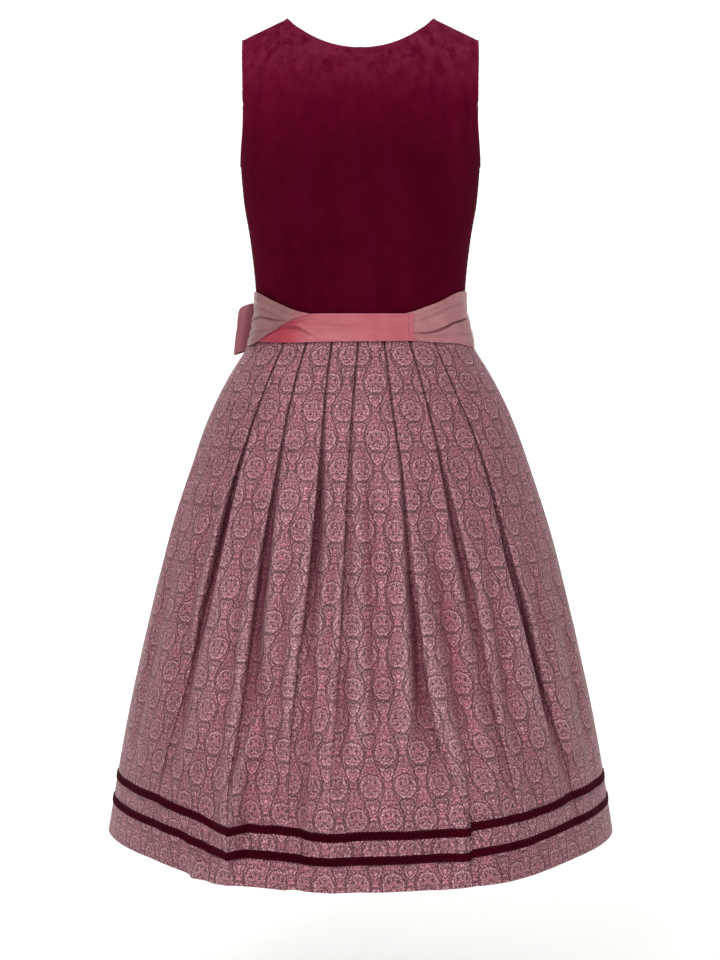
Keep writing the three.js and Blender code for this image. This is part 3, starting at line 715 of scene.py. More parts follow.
# Panel under the armhole.
def sideGrid(side, sign):
    shares = np.linspace(0, 1, 30)
    knots = panelEdgeRows["level"]
    levels = np.unique(np.concatenate([np.linspace(0, junctionLevel, 60), knots[knots <= junctionLevel]]))
    top = lerp(underarmLevel, junctionLevel, (1 - shares) ** armholeCurve)
    seam = through(panelEdgeRows, side, levels)[None, :]
    angle = lerp(seam, 90.0, shares[:, None])
    grown = (levels[None, :] / junctionLevel) * top[:, None]
    turned = sign * (angle if side == "back" else 180 - angle)
    present = np.ones((len(shares) - 1, len(levels) - 1), bool)
    return turned, grown, present, [(np.arange(len(shares)), np.full(len(shares), len(levels) - 1))]


bodicePanel("bodice_back_panel", centreGrid("back", lambda a: a, True), "back", "bodice_back")
for label, sign in (("left", -1), ("right", 1)):
    bodicePanel(
        f"bodice_front_panel_{label}",
        centreGrid("front", lambda a, sign=sign: sign * (180 - a), False),
        "front", f"bodice_front_{label}",
    )
    for side in ("back", "front"):
        bodicePanel(
            f"bodice_side_{side}_panel_{label}", sideGrid(side, sign), side, f"bodice_side_{side}_{label}",
        )
print("stage: bodice")

skirtRows = table(
    "drop halfWidth halfDepth point",
    (0, 133, 93, 1), (25, 145, 102, 1), (60, 166.5, 121, 1.02), (111, 192, 146, 1.05), (163, 211.5, 167, 1.07),
    (265, 244.5, 203, 1.1), (393, 277.3, 240, 1.14), (521, 305, 271, 1.17),
    (body["skirtDrop"], 327.3, 297, 1.2),
)
skirt = {
    "mid": 230.0,
    "laps": 1.3,
    "sway": 1.5,
    "quiver": 0.5,
    "step": 1.1,
    "swayPitch": (5.2, 95.0),
    "quiverPitch": (1.9, 28.0),
    "planFrom": (430, 575),
    "foldsKept": 0.25,
    "foldsEnd": (540, 640),
    "overlap": 0.3,
    "smoothOver": 14,
    "hollowShade": (1.5, 15),
    "crestHighlight": (0.4, 7),
}


# Laid pleat: the side that its edge lies on, its depth at the waist, below it and low down, the drops where it
# is deepest and where it softens, and its line by drop.
def fold(facing, top, middle, low, opens, soft, *line):
    return {
        "facing": facing, "top": top, "body": middle, "low": low, "opens": opens, "soft": soft,
        "line": table("drop angle", *line),
    }


backPleats = [
    fold(
        1, 5, 23, 5, 270, 330, (0, -43), (21, -43.1), (104, -44.6), (188, -47.4), (285, -49.6), (405, -52.5),
        (649, -57),
    ),
    fold(
        1, 5, 22, 18, 320, 330, (0, -28.8), (132, -29.9), (231, -31.3), (361, -33), (442, -33.5), (534, -32.6),
        (590, -30.8), (649, -29.6),
    ),
    fold(
        1, 5, 21, 9, 260, 300, (0, -15), (92, -15.1), (170, -15.3), (296, -16.6), (430, -19.3), (525, -20),
        (649, -19),
    ),
    fold(
        1, 5, 10, 7, 300, 320, (0, -1.2), (96, -3.8), (182, -5.2), (295, -6.2), (434, -7.7), (524, -8.9),
        (649, -9),
    ),
    fold(
        -1, 5, 20, 12, 410, 430, (0, 12.5), (86, 13.4), (170, 15.4), (262, 16.6), (344, 18), (450, 20.3),
        (526, 24), (587, 26.5), (649, 27),
    ),
    fold(
        -1, 5, 19, 9, 300, 300, (0, 26.2), (93, 28.1), (168, 30.6), (243, 32.9), (320, 35.4), (420, 37),
        (649, 39),
    ),
    fold(
        -1, 5, 23, 9, 400, 410, (0, 41.3), (66, 42.6), (131, 46.2), (186, 48.3), (281, 50.5), (360, 54),
        (444, 57), (649, 61),
    ),
]
frontPleats = [
    fold(way, 4.5, 16, 8, 200, 330, (0, at), (230, at + way), (649, at - way))
    for way, at in ((1, 103), (1, 118), (1, 133), (1, 148), (-1, 212), (-1, 227), (-1, 242), (-1, 257))
]
# Soft troughs between the pleats: angles half way and at the hem, depth, half width, and where they start and
# are deepest.
backTroughs = table(
    "mid hem depth wide start deepest",
    (4.0, 6.6, 9, 1.9, 70, 300), (24.0, 32.5, 13, 2.9, 150, 360), (-30.0, -26.0, 10, 3.0, 330, 480),
    (-15.0, -15.5, 9, 2.3, 300, 460), (-6.5, -6.0, 7, 1.9, 330, 460), (19.0, 15.0, 7, 2.2, 330, 470),
    (-23.5, -24.0, 7, 2.2, 160, 380), (-38.0, -38.0, 8, 2.6, 170, 410), (-55.0, -49.0, 8, 2.6, 300, 480),
    (-54.0, -58.0, 6, 3.0, 140, 330), (-70.0, -71.0, 6, 3.4, 180, 500), (41.0, 44.0, 9, 2.6, 190, 400),
    (58.0, 56.0, 7, 3.0, 200, 480), (73.0, 72.0, 6, 3.4, 200, 520), (-10.0, -12.0, 5, 1.6, 180, 360),
    (10.5, 11.0, 5, 1.7, 150, 330),
)
frontTroughs = table(
    "mid hem depth wide start deepest",
    (97.0, 98.0, 5, 3.0, 180, 480), (111.0, 112.0, 6, 3.0, 200, 460), (126.0, 126.5, 6, 3.0, 180, 430),
    (160.0, 159.0, 7, 3.5, 200, 470), (172.0, 171.0, 5, 3.0, 240, 520), (186.0, 187.0, 6, 3.5, 200, 470),
    (203.0, 203.0, 7, 3.5, 180, 430), (233.0, 232.0, 6, 3.0, 200, 460), (249.0, 249.0, 6, 3.0, 180, 430),
    (263.0, 262.0, 5, 3.0, 200, 480),
)
# How far the back's cloth stands out from the plain form at the upper ribbon, the lower one and the hem.
hemPlan = table(
    "angle upper lower hem",
    (-90, 0, 0, 0), (-70, -2, -2, -3), (-57, 0, -2, -4), (-50, 4, 2, 0), (-46, 5, 3, 3), (-41.5, 8, 8, 9),
    (-38.6, 12, 11, 21), (-36, 13, 13, 19), (-33.3, 21, 19, 24), (-31, 28, 26, 24), (-30.3, 34, 29, 23),
    (-29.6, 20, 19, 20), (-28.3, 4, 7, 17), (-25.6, 2, 4, 13), (-22.5, -5, 1, 11), (-19.6, -4, 1, 11),
    (-16.9, -2, 2, 4), (-14, 9, 8, 8), (-9, 14, 8, 8), (-5.6, 10, 3, 4), (0, 0, -2, 0), (6, 0, -1, 2),
    (12, 5, 1, 4), (17.4, 7, 3, 7), (20, 7, 5, 11), (22.5, 11, 9, 13), (25, 18, 16, 15), (26.3, 18, 15, 15),
    (27, 9, 10, 14), (29, 15, 14, 17), (33, 20, 17, 19), (41, 15, 11, 14), (45.5, 11, 5, 9), (51, 7, 2, 4),
    (56, 3, 0, 1), (62, 0, -1, 0), (75, 0, -2, 0), (90, 0, 0, 0),
)
planDrops = (586.5, 614.5)


def outward(angle, halfWidth, halfDepth):
    turn = np.radians(angle)
    out = np.stack([np.sin(turn) / halfWidth, -np.cos(turn) / halfDepth, 0 * turn], -1)
    return unit(out)


def skirtOut(angle, drop):
    return outward(angle, through(skirtRows, "halfWidth", drop), through(skirtRows, "halfDepth", drop))


def skirtForm(angle, drop, lift=0.0):
    angle, drop, lift = together(angle, drop, lift)
    turn = np.radians(angle)
    halfWidth = through(skirtRows, "halfWidth", drop)
    halfDepth = through(skirtRows, "halfDepth", drop)
    point = through(skirtRows, "point", drop)

    def bend(value):
        return np.sign(value) * np.abs(value) ** point

    place = np.stack(
        [halfWidth * bend(np.sin(turn)), -halfDepth * bend(np.cos(turn)), body["waistHeight"] - drop], -1,
    )
    return place + outward(angle, halfWidth, halfDepth) * lift[..., None]


# How a laid pleat's edge laps, rises and runs out, in degrees, from closed to open and loose, and how far it
# bulges.
pleatForm = {"lap": (1.0, 0.8), "riser": (0.35, 2.8), "run": (1.5, 4.4, 6.8), "bulge": 1.6, "closes": 140}


# Section of one laid fold at every drop: offsets in degrees and depths in millimetres, one row for each point
# along the cloth.
def pleatSection(pleat, drop):
    soft = pleat["soft"]
    opened = smoothstep(drop, 0.3 * pleat["opens"], pleat["opens"])
    closing = smoothstep(drop, soft * 0.85, soft + pleatForm["closes"])
    depth = lerp(lerp(pleat["top"], pleat["body"], opened), pleat["low"], closing)
    loose = smoothstep(drop, soft - 110, soft + 150)
    lap = skirt["laps"] * (1 - loose) * lerp(*pleatForm["lap"], opened)
    riser = lerp(*pleatForm["riser"], loose)
    run = lerp(lerp(*pleatForm["run"][:2], opened), pleatForm["run"][2], loose)
    bulge = -pleatForm["bulge"] * opened * (1 - loose)
    offsets = [
        -riser - 2.2, -riser - 0.8, -riser * 0.4, 0.12, -lap * 0.55, -lap, -lap * 0.2 + 0.15, 0.3 * run,
        0.55 * run, 0.8 * run, run,
    ]
    depths = [
        0, bulge, bulge * 0.7 + loose * depth * 0.1, lerp(1.6, depth * 0.45, loose),
        lerp(0.45, 0.72, loose) * depth, lerp(0.72, 0.9, loose) * depth, depth, 0.86 * depth, 0.5 * depth,
        0.16 * depth, 0,
    ]
    return np.stack([o + 0 * drop for o in offsets], 0), np.stack([d + 0 * drop for d in depths], 0)


# Catmull-Rom curve through the first axis.
def smoothColumns(points, pieces):
    padded = np.concatenate([2 * points[:1] - points[1:2], points, 2 * points[-1:] - points[-2:-1]])
    made = []
    for k in range(len(points) - 1):
        p0, p1, p2, p3 = padded[k : k + 4]
        for t in np.arange(pieces) / pieces:
            square, cube = 2 * p0 - 5 * p1 + 4 * p2 - p3, 3 * p1 - p0 - 3 * p2 + p3
            made.append(0.5 * (2 * p1 + (p2 - p0) * t + square * t * t + cube * t**3))
    made.append(points[-1])
    return np.stack(made)


# Angles and depths of every column of a skirt panel, and for each gap between columns the layer that it belongs
# to.
def skirtColumns(pleats, start, end, drop):
    angles, depths, layer = [], [], []
    here = 0
    last = start + 0 * drop

    def plain(until):
        pieces = max(2, int(math.ceil(float(np.max(until - last)) / skirt["step"])))
        for t in np.arange(pieces) / pieces:
            angles.append(lerp(last, until, t))
            depths.append(0 * drop)
            layer.append(here)

    for pleat in pleats:
        offset, depth = pleatSection(pleat, drop)
        if pleat["facing"] < 0:
            offset, depth = -offset[::-1], depth[::-1]
        offset, depth = smoothColumns(offset, 4), smoothColumns(depth, 4)
        centre = through(pleat["line"], "angle", drop)
        plain(centre + offset[0])
        turnAt = int(np.argmax(depth.mean(axis=1)))
        for c in range(len(offset) - 1):
            angles.append(centre + offset[c])
            depths.append(depth[c])
            if c == turnAt:
                here += 1
            layer.append(here)
        last = centre + offset[-1]
    plain(end)
    angles.append(end + 0 * drop)
    depths.append(0 * drop)
    return np.stack(angles), np.stack(depths), np.array(layer)


def troughDepth(troughs, angle, drop):
    total = 0 * angle
    for k in range(len(troughs["mid"])):
        down = (drop - skirt["mid"]) / (body["skirtDrop"] - skirt["mid"])
        centre = lerp(troughs["mid"][k], troughs["hem"][k], down)
        grow = smoothstep(drop, troughs["start"][k], troughs["deepest"][k])
        fade = 1 - 0.55 * smoothstep(drop, troughs["deepest"][k] + 60, troughs["deepest"][k] + 330)
        away = (angle - centre) / troughs["wide"][k]
        total = total + troughs["depth"][k] * grow * fade * np.exp(-(away**2))
    return total


def skirtSurface(pleats, troughs, start, end, drops):
    drop = np.asarray(drops, float)
    angles, depths, layer = skirtColumns(pleats, start, end, drop)
    grid = np.broadcast_to(drop, angles.shape)
    sink = depths + troughDepth(troughs, angles, grid)
    loose = smoothstep(grid, 30, 260)
    across, down = skirt["swayPitch"]
    sink = sink + skirt["sway"] * loose * ripple(angles / across, grid / down, 0.8)
    across, down = skirt["quiverPitch"]
    sink = sink + skirt["quiver"] * smoothstep(grid, 15, 90) * ripple(angles / across, grid / down, 2.2)
    if start < 0:
        upper, lower, hem = (through(hemPlan, key, angles) for key in ("upper", "lower", "hem"))
        stand = lerp(upper, lower, smoothstep(grid, *planDrops))
        stand = lerp(stand, hem, smoothstep(grid, planDrops[1], body["skirtDrop"]))
        low = skirt["foldsKept"] * sink * (1 - smoothstep(grid, *skirt["foldsEnd"])) - stand
        sink = lerp(sink, low, smoothstep(grid, *skirt["planFrom"]))
    return angles, layer, sink, grid


def skirtLength(drop):
    rows = np.linspace(0, body["skirtDrop"], 400)
    mean = (through(skirtRows, "halfWidth", rows) + through(skirtRows, "halfDepth", rows)) / 2
    length = np.concatenate([[0], np.cumsum(np.hypot(np.diff(mean), np.diff(rows)))])
    return np.interp(drop, rows, length) * mm


def skirtPanel(name, node, pleats, troughs, start, end):
    drops = np.concatenate(
        [np.linspace(0.3, 60, 16), np.linspace(60, 330, 44)[1:], np.linspace(330, body["skirtDrop"], 44)[1:]]
    )
    angles, layer, sink, grid = skirtSurface(pleats, troughs, start, end, drops)
    outer = skirtForm(angles, grid, -sink)
    lengths, _ = arcLengths(outer)
    middle = [np.nonzero(layer == number)[0][[0, -1]].sum() + 1 for number in range(layer[-1] + 1)]
    centres = np.array([middle[number] // 2 for number in layer])
    down = skirtLength(drops)

    # The threads run straight down from the hem, so the pattern is whole there and cut by the pleats above.
    def uvOf(quad, column, row):
        centre = centres[quad]
        return lengths[column, row] - lengths[centre, row] + lengths[centre, -1], -down[row]

    normals = gridNormals(outer)
    levelNormals = skirtOut(angles, grid)
    flip = np.sum(normals * levelNormals, axis=-1) < -0.2
    inward = np.where(flip[..., None], levelNormals, normals) * body["skirtWall"]
    inner = outer - inward * np.where(flip, skirt["overlap"], 1.0)[..., None]
    # Painted light on the damask: shade where the cloth sinks below its row's smoothed depth, highlight where
    # it stands above it.
    width = skirt["smoothOver"]
    kernel = np.ones(2 * width + 1) / (2 * width + 1)
    level = np.stack([np.convolve(np.pad(row, width, mode="edge"), kernel, mode="valid") for row in sink.T], 1)
    (least, most), (crestLeast, crestMost) = skirt["hollowShade"], skirt["crestHighlight"]
    paintedLight = np.clip((sink - 0.6 * level - least) / most, 0, 1)
    paintedLight = paintedLight - np.clip((level - sink - crestLeast) / crestMost, 0, 1)
    paintedLight = paintedLight * smoothstep(grid, 2, 50)
    piece = clothShell(name, outer, inner, uvOf, paintedLight=paintedLight)
    finish(piece, damaskMaterial, node)


# Pleats, troughs, and the angles of the side seams of each width of the skirt.
widths = {"back": (backPleats, backTroughs, -90, 90), "front": (frontPleats, frontTroughs, 90, 270)}
for side, width in widths.items():
    skirtPanel(f"skirt_{side}_panel", f"skirt_{side}", *width)
print("stage: skirt")

# Velvet ribbons above the hem. They lie further above it at the sides, by "rise" millimetres there.
ribbon = {
    "width": 9.9, "lift": 0.5, "thick": 0.9, "crowned": 1.055, "extra": (1.06, 1.0),
    "stops": (-1, -0.9, -0.5, 0, 0.5, 0.9, 1), "crown": (0.0, 0.75, 1.0, 1.0, 1.0, 0.75, 0.0),
}
ribbons = {"ribbon_upper": 62.5, "ribbon_lower": 34.5}
rise = table(
    "angle ribbon_upper ribbon_lower",
    (-90, 12, 9.5), (-57, 11.8, 9), (-50, 9.3, 8), (-46, 7.6, 7.2), (-41.5, 6, 4), (-38.6, 4.5, 3.2),
    (-36, 0.4, 0.2), (-31, 0, 0), (25, 0, 0), (26.5, 0.3, 0.1), (27.2, 3.8, 1.5), (33, 7.2, 4), (41, 7.75, 4),
    (51, 9.75, 6), (60, 11.5, 7.5), (90, 12, 8),
)


def hemRibbon(name, node):
    half = ribbon["width"] / 2
    stops = np.array(ribbon["stops"])
    crown = np.array(ribbon["crown"]) * ribbon["thick"]
    rings, bases = [], []
    for pleats, troughs, start, end in widths.values():
        drops = body["skirtDrop"] - ribbons[node] - np.linspace(-8, 24, 33)[::-1]
        angles, _, sink, grid = skirtSurface(pleats, troughs, start, end, drops)
        points = skirtForm(angles, grid, -sink)
        normals = gridNormals(points)
        if start < 0:
            up = through(rise, node, angles.mean(axis=1))
        else:
            fromMiddle = np.degrees(np.arcsin(np.abs(np.sin(np.radians(angles.mean(axis=1))))))
            up = rise[node][0] * smoothstep(fromMiddle, 35, 68)
        middle = body["skirtDrop"] - ribbons[node] - up
        wanted = middle[:, None] + half * stops[None, :]
        place = (wanted - drops[0]) / (drops[1] - drops[0])
        low = np.clip(np.floor(place).astype(int), 0, len(drops) - 2)
        share = (place - low)[..., None]
        at = np.arange(len(points))[:, None]
        along = lerp(points[at, low], points[at, low + 1], share)
        out = unit(lerp(normals[at, low], normals[at, low + 1], share))
        rings.append(along + out * (ribbon["lift"] + crown)[None, :, None])
        bases.append(along + out * (ribbon["lift"] - 0.4))
    piece = clothShell(name, np.concatenate(rings), np.concatenate(bases), ring=True)
    finish(piece, ribbonMaterial, node)
    edge = np.concatenate(rings)
    seams = [0.65 * edge[:, outside] + 0.35 * edge[:, inside] for outside, inside in ((1, 2), (5, 4))]
    stitches(node + "_stitches", threadMaterial, seams)


# Rows of small stitches along closed lines, each a rounded piece of thread.
stitch = {"gap": 5.2, "length": 3.2, "thick": 0.36}


def stitchNodes():
    tree = bpy.data.node_groups.new("stitches", "GeometryNodeTree")
    socket = tree.interface.new_socket
    socket("Geometry", in_out="INPUT", socket_type="NodeSocketGeometry")
    keys = {}
    for name, kind in (("Gap", "Float"), ("Length", "Float"), ("Thick", "Float"), ("Material", "Material")):
        keys[name] = socket(name, in_out="INPUT", socket_type="NodeSocket" + kind).identifier
    socket("Geometry", in_out="OUTPUT", socket_type="NodeSocketGeometry")
    kinds = (
        "NodeGroupInput", "NodeGroupOutput", "GeometryNodeMeshToCurve", "GeometryNodeResampleCurve",
        "GeometryNodeInputTangent", "FunctionNodeAlignRotationToVector", "GeometryNodeMeshUVSphere",
        "ShaderNodeCombineXYZ", "GeometryNodeInstanceOnPoints", "GeometryNodeRealizeInstances",
        "GeometryNodeSetMaterial",
    )
    given, made, curve, even, tangent, turn, bead, size, placed, real, coloured = [
        tree.nodes.new(kind) for kind in kinds
    ]
    even.mode = "LENGTH"
    turn.axis = "X"
    for key, value in (("Segments", 5), ("Rings", 3), ("Radius", 0.5)):
        bead.inputs[key].default_value = value
    for source, out, end, into in (
        (given, "Geometry", curve, "Mesh"), (curve, 0, even, "Curve"), (given, "Gap", even, "Length"),
        (tangent, 0, turn, "Vector"), (given, "Length", size, "X"), (given, "Thick", size, "Y"),
        (given, "Thick", size, "Z"), (even, 0, placed, "Points"), (bead, "Mesh", placed, "Instance"),
        (turn, 0, placed, "Rotation"), (size, 0, placed, "Scale"), (placed, 0, real, 0),
        (real, 0, coloured, "Geometry"), (given, "Material", coloured, "Material"), (coloured, 0, made, 0),
    ):
        tree.links.new(source.outputs[out], end.inputs[into])
    return tree, keys


stitchTree, stitchKeys = stitchNodes()


def stitches(name, material, lines):
    points = np.concatenate(lines) * mm
    edges, first = [], 0
    for line in lines:
        edges += [(first + k, first + (k + 1) % len(line)) for k in range(len(line))]
        first += len(line)
    mesh = bpy.data.meshes.new(name)
    mesh.from_pydata(points.tolist(), edges, [])
    piece = bpy.data.objects.new(name, mesh)
    bpy.context.scene.collection.objects.link(piece)
    sewn = piece.modifiers.new("stitches", "NODES")
    sewn.node_group = stitchTree
    for key, value in stitch.items():
        sewn[stitchKeys[key.title()]] = value * mm
    sewn[stitchKeys["Material"]] = material
    piece.data = bpy.data.meshes.new_from_object(piece.evaluated_get(bpy.context.evaluated_depsgraph_get()))
    piece.modifiers.remove(sewn)
    bpy.data.meshes.remove(mesh)
    piece.data.name = name
    piece.data.shade_smooth()
    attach(piece, "root")


threadMaterial = satin("ribbon_thread", {"warp": "5a1020", "weft": "45101c", "roughness": 0.5})
for node in ribbons:
    hemRibbon(node + "_band", node)
print("stage: ribbons")

# Ties wound round the waist, by angle and by height above or below this line.
sashLine = -371.5


# Point on the dress at any height round the waist, moved out level.
def dressPoint(angle, z, lift):
    angle, z, lift = together(angle, z, lift)
    level = levelAt(np.maximum(z, body["waistHeight"]))
    above = torsoPoint(angle, level)
    out = outward(angle, through(torsoRows, "halfWidth", level), through(torsoRows, "backDepth", level))
    drop = np.maximum(0, body["waistHeight"] - z)
    below = skirtForm(angle, drop)
    isBelow = (z < body["waistHeight"])[..., None]
    return np.where(isBelow, below, above) + np.where(isBelow, skirtOut(angle, drop), out) * lift[..., None]


leftTie = table(
    "angle top bottom lift puff",
    (-136.5, 17, -17, 4.2, 0), (-122, 29, -17.5, 3.7, 0.8), (-108, 38, -21, 1.6, 2.4),
    (-98, 41, -24.5, 0.2, 3.2), (-90, 42.5, -26, -0.2, 3.4), (-81, 42.2, -26.2, 0.2, 3.3),
    (-74, 41.6, -25.4, 1.9, 2.4), (-68, 40.4, -24, 3.8, 1.5), (-61, 36.8, -18.6, 4.2, 1.3),
    (-56, 33.2, -12.6, 4.2, 1.3), (-47.6, 27.2, -3, 4.1, 1.1), (-40.2, 21.4, 4.6, 4.0, 0.5),
    (-33.7, 16.9, 9.6, 4.0, 0.3), (-27.4, 14.4, 12.6, 3.9, 0),
)
centreTie = table(
    "angle top bottom lift puff",
    (-70, -17, -20.8, 2.3, 0), (-62, -11, -20.8, 2.4, 0.3), (-50, -1, -21.2, 2.4, 1.0),
    (-43, 4.6, -21.6, 2.4, 1.7), (-36, 10, -21.6, 2.4, 1.5), (-29, 13.6, -21, 2.4, 0.8),
    (-20, 14.2, -20.2, 2.4, 0.3), (10, 14.2, -19.4, 2.4, 0.3), (28.6, 14.1, -19, 2.4, 0.5),
)
rightTie = table(
    "angle top bottom lift puff",
    (24, 14.2, -18.8, 0.7, 0.6), (30, 17.6, -19, 0.7, 1.2), (37, 22.6, -20.8, 0.7, 2.0),
    (47, 29.4, -21.7, 0.7, 2.6), (58.5, 37.8, -22.8, 0.3, 3.2), (69.6, 42.2, -26, 0.0, 4.2),
    (80, 42.8, -28, -0.2, 5.0), (92, 42.8, -28, -0.2, 5.0),
)
frontTie = table(
    "angle top bottom lift puff",
    (92.2, 42.8, -28, -0.2, 5.0), (100, 41, -26.5, 0.4, 4.2), (110, 38, -22.5, 2.2, 2.4),
    (118, 33.5, -19.5, 2.7, 1.8), (135, 24, -17, 2.7, 0.8), (180, 18, -17, 2.7, 0.6), (212, 18, -17, 2.7, 0.3),
    (221.2, 17, -17, 2.7, 0),
)


# Crease of a tie: its depth, its half width, the ridge beside it, and its line by angle and height.
def crease(depth, wide, ridge, *line):
    return {"depth": depth, "wide": wide, "ridge": ridge, "line": np.array(line, float)}


leftCreases = [
    crease(2.9, 1.3, 1.2, (-96, 2), (-84, 6), (-73.5, 8.1), (-61.9, 10.2), (-52.5, 7), (-41.1, 4.2)),
    crease(1.0, 2.4, 0.5, (-42, 6), (-52, 14), (-64, 22), (-78, 28), (-92, 31)),
    crease(1.1, 2.0, 0.5, (-47, -1.5), (-56, -6), (-67, -10), (-80, -14), (-96, -15)),
    crease(0.7, 1.6, 0.3, (-36, 10), (-45, 17), (-56, 27), (-66, 33)),
    crease(0.8, 2.6, 0.4, (-100, 20), (-112, 12), (-124, 4), (-136, 0)),
    crease(0.8, 2.2, 0.4, (-98, -8), (-112, -6), (-126, -5), (-136, -4)),
]
centreCreases = [
    crease(2.2, 1.4, 1.0, (-49, -4.5), (-43, -1.6), (-34.9, -3.8), (-28.6, -9.6), (-25, -12.5)),
    crease(0.9, 1.6, 0.4, (-41, 3.5), (-36, 4.5), (-29, 6.5), (-24, 8)),
    crease(0.55, 0.45, 0.3, (-27, 10.6), (0, 10.6), (28.4, 10.4)),
    crease(0.5, 3.0, 0.2, (-22, 0), (-8, -3), (4, -2)),
    crease(0.7, 1.0, 0.3, (26.2, 12), (26.4, 0), (26, -17)),
]
rightCreases = [
    crease(2.9, 1.3, 1.2, (27, -10.2), (37.7, -9.9), (46.3, -5.9), (58.6, 2.9), (73.5, 7.6), (88, 9)),
    crease(1.0, 2.4, 0.5, (30, 4), (42, 12), (56, 22), (72, 29), (90, 31)),
    crease(0.9, 2.2, 0.4, (34, -13), (48, -13), (62, -12), (78, -13), (90, -14)),
    crease(0.6, 1.5, 0.3, (28, 9), (38, 16), (50, 25), (60, 33)),
]
frontCreases = [
    crease(2.2, 1.8, 0.9, (92, 9), (108, 7), (124, 3), (138, 1)),
    crease(0.9, 2.4, 0.4, (92, 30), (106, 22), (122, 12), (140, 8)),
    crease(0.8, 2.4, 0.4, (150, -4), (170, 2), (192, -2), (216, 3)),
]


tie = {"perDegree": 2.45, "lift": 0.4, "hem": 0.25, "wrinkles": 0.28, "fineWrinkles": 0.14, "round": 0.35}


def tieStretch(name, node, material, rows, creases, seed, slant=0.0):
    first, last = rows["angle"][[0, -1]]
    angles = np.linspace(first, last, int((last - first) / 0.6) + 2)
    grid, turn = np.broadcast_arrays(np.linspace(0, 1, 61)[None, :], angles[:, None])
    top, bottom, lift, puff = (through(rows, key, angles)[:, None] for key in ("top", "bottom", "lift", "puff"))
    up = lerp(bottom, top, grid)
    turn = turn + slant * (grid - 0.35) * smoothstep(angles, angles[-1] - 9, angles[-1])[:, None]
    flat = np.stack([turn * tie["perDegree"], up], -1)
    edges = np.sin(np.pi * grid) ** 0.6
    swell = puff * (np.sin(np.pi * np.minimum(grid / 0.62, 1)) + 0.35 * np.sin(np.pi * grid))
    # Painted shade along each crease, kept in the fold attribute.
    paintedLight = np.zeros(grid.shape)
    for each in creases:
        line = each["line"] * [tie["perDegree"], 1]
        away = awayFrom(flat, line)
        start, end = line[[0, -1], 0]
        share = (flat[..., 0] - start) / (end - start) if abs(end - start) > 6 else 0.5 + 0 * up
        fade = np.clip(np.sin(np.pi * np.clip(share, 0, 1)), 0, 1) ** 0.4
        dip = bell(away, each["wide"]) * fade
        ridge = each["ridge"] * bell(away - 2.6 * each["wide"], 1.6 * each["wide"]) * fade
        swell = swell - each["depth"] * dip + ridge
        paintedLight = np.maximum(paintedLight, dip * min(1.0, each["depth"] / 2.6))
    wrinkle = tie["wrinkles"] * edges * ripple(grid * 9 + turn / 26, turn / 9, seed)
    wrinkle = wrinkle + tie["fineWrinkles"] * edges * np.sin(turn / 2.1 + 6 * grid + seed)
    hem = bell(grid * (top - bottom), 1.6) + bell((1 - grid) * (top - bottom), 1.6)
    off = lift + np.maximum(-0.2, swell) + wrinkle * 0.8 + tie["lift"] + body["tieWall"] + tie["hem"] * hem
    outer = dressPoint(turn, sashLine + up, off)
    normals = gridNormals(outer)
    skin = outer - normals * (tie["round"] * ((grid == 0) | (grid == 1)))[..., None]
    piece = clothShell(name, skin, outer - normals * body["tieWall"], paintedLight=paintedLight)
    finish(piece, material, node)


tieStretch(
    "tie_right_stretch", "tie_right", satins["dull"], rightTie, rightCreases, 0.3,
)
tieStretch(
    "tie_centre_stretch", "tie_centre", satins["bright"], centreTie, centreCreases, 1.2,
    1.1,
)
tieStretch(
    "tie_left_stretch", "tie_left", satins["left"], leftTie, leftCreases, 2.3,
)
tieStretch(
    "tie_front_stretch", "tie_front", satins["dull"], frontTie, frontCreases, 3.1,
)
print("stage: ties")

apron = {
    "halfAngle": 62.0, "bandTop": 13.0, "bandBottom": -26.0, "bandLift": 2.0, "bandWall": 1.2, "quilting": 0.25,
    "shorter": 75.0, "gathers": 12, "foldsTop": 1.5, "foldsLow": 10.5, "gatherDepth": 1.3, "lift": 2.2,
    "wall": 1.0,
}


def apronBand():
    angles = np.linspace(180 - apron["halfAngle"], 180 + apron["halfAngle"], 120)[:, None]
    heights = np.linspace(apron["bandBottom"], apron["bandTop"], 24)[None, :]
    turn, up = np.broadcast_arrays(angles, heights)
    quilted = apron["quilting"] * ripple(turn / 3.1, up / 9.0, 0.9)
    outer = dressPoint(turn, sashLine + up, apron["bandLift"] + quilted)
    piece = wall("apron_waistband", outer, apron["bandWall"], 0.4)
    finish(piece, satins["dull"], "apron_band")
    lengths, heights = arcLengths(outer)


def apronPanel():
    top = body["waistHeight"] - (sashLine + apron["bandBottom"]) + 0.3
    bottom = body["skirtDrop"] - apron["shorter"]
    shares = np.linspace(0, 1, 361)[:, None]
    downs = np.concatenate([np.linspace(0, 0.2, 30), np.linspace(0.2, 1, 60)[1:]])[None, :]
    share, down = np.broadcast_arrays(shares, downs)
    turn = 180 + apron["halfAngle"] * (2 * share - 1)
    drop = lerp(top, bottom, down)
    shifted = 0.3 * np.sin(2 * np.pi * share * 3 + 1.1) * smoothstep(down, 0, 0.3)
    wave = 0.5 - 0.5 * np.cos(2 * np.pi * (apron["gathers"] * share + shifted))
    gather = 0.5 - 0.5 * np.cos(2 * np.pi * (apron["gathers"] * 3 * share + 0.3 * np.sin(9 * share)))
    folds = wave * lerp(apron["foldsTop"], apron["foldsLow"], smoothstep(down, 0, 0.85))
    folds = folds * (1 + 0.25 * ripple(share * 7, down, 0.3))
    lift = apron["lift"] + folds + apron["gatherDepth"] * gather * (1 - smoothstep(down, 0.02, 0.25))
    lift = lift + 0.5 * ripple(turn / 4.0, drop / 60.0, 1.4) * smoothstep(down, 0.05, 0.3)
    outer = skirtForm(turn, drop, lift + 1.2 + apron["wall"])
    piece = wall("apron_cloth", outer, apron["wall"], 0.3)
    finish(piece, satins["dull"], "apron_panel")


apronBand()
apronPanel()
print("stage: apron")

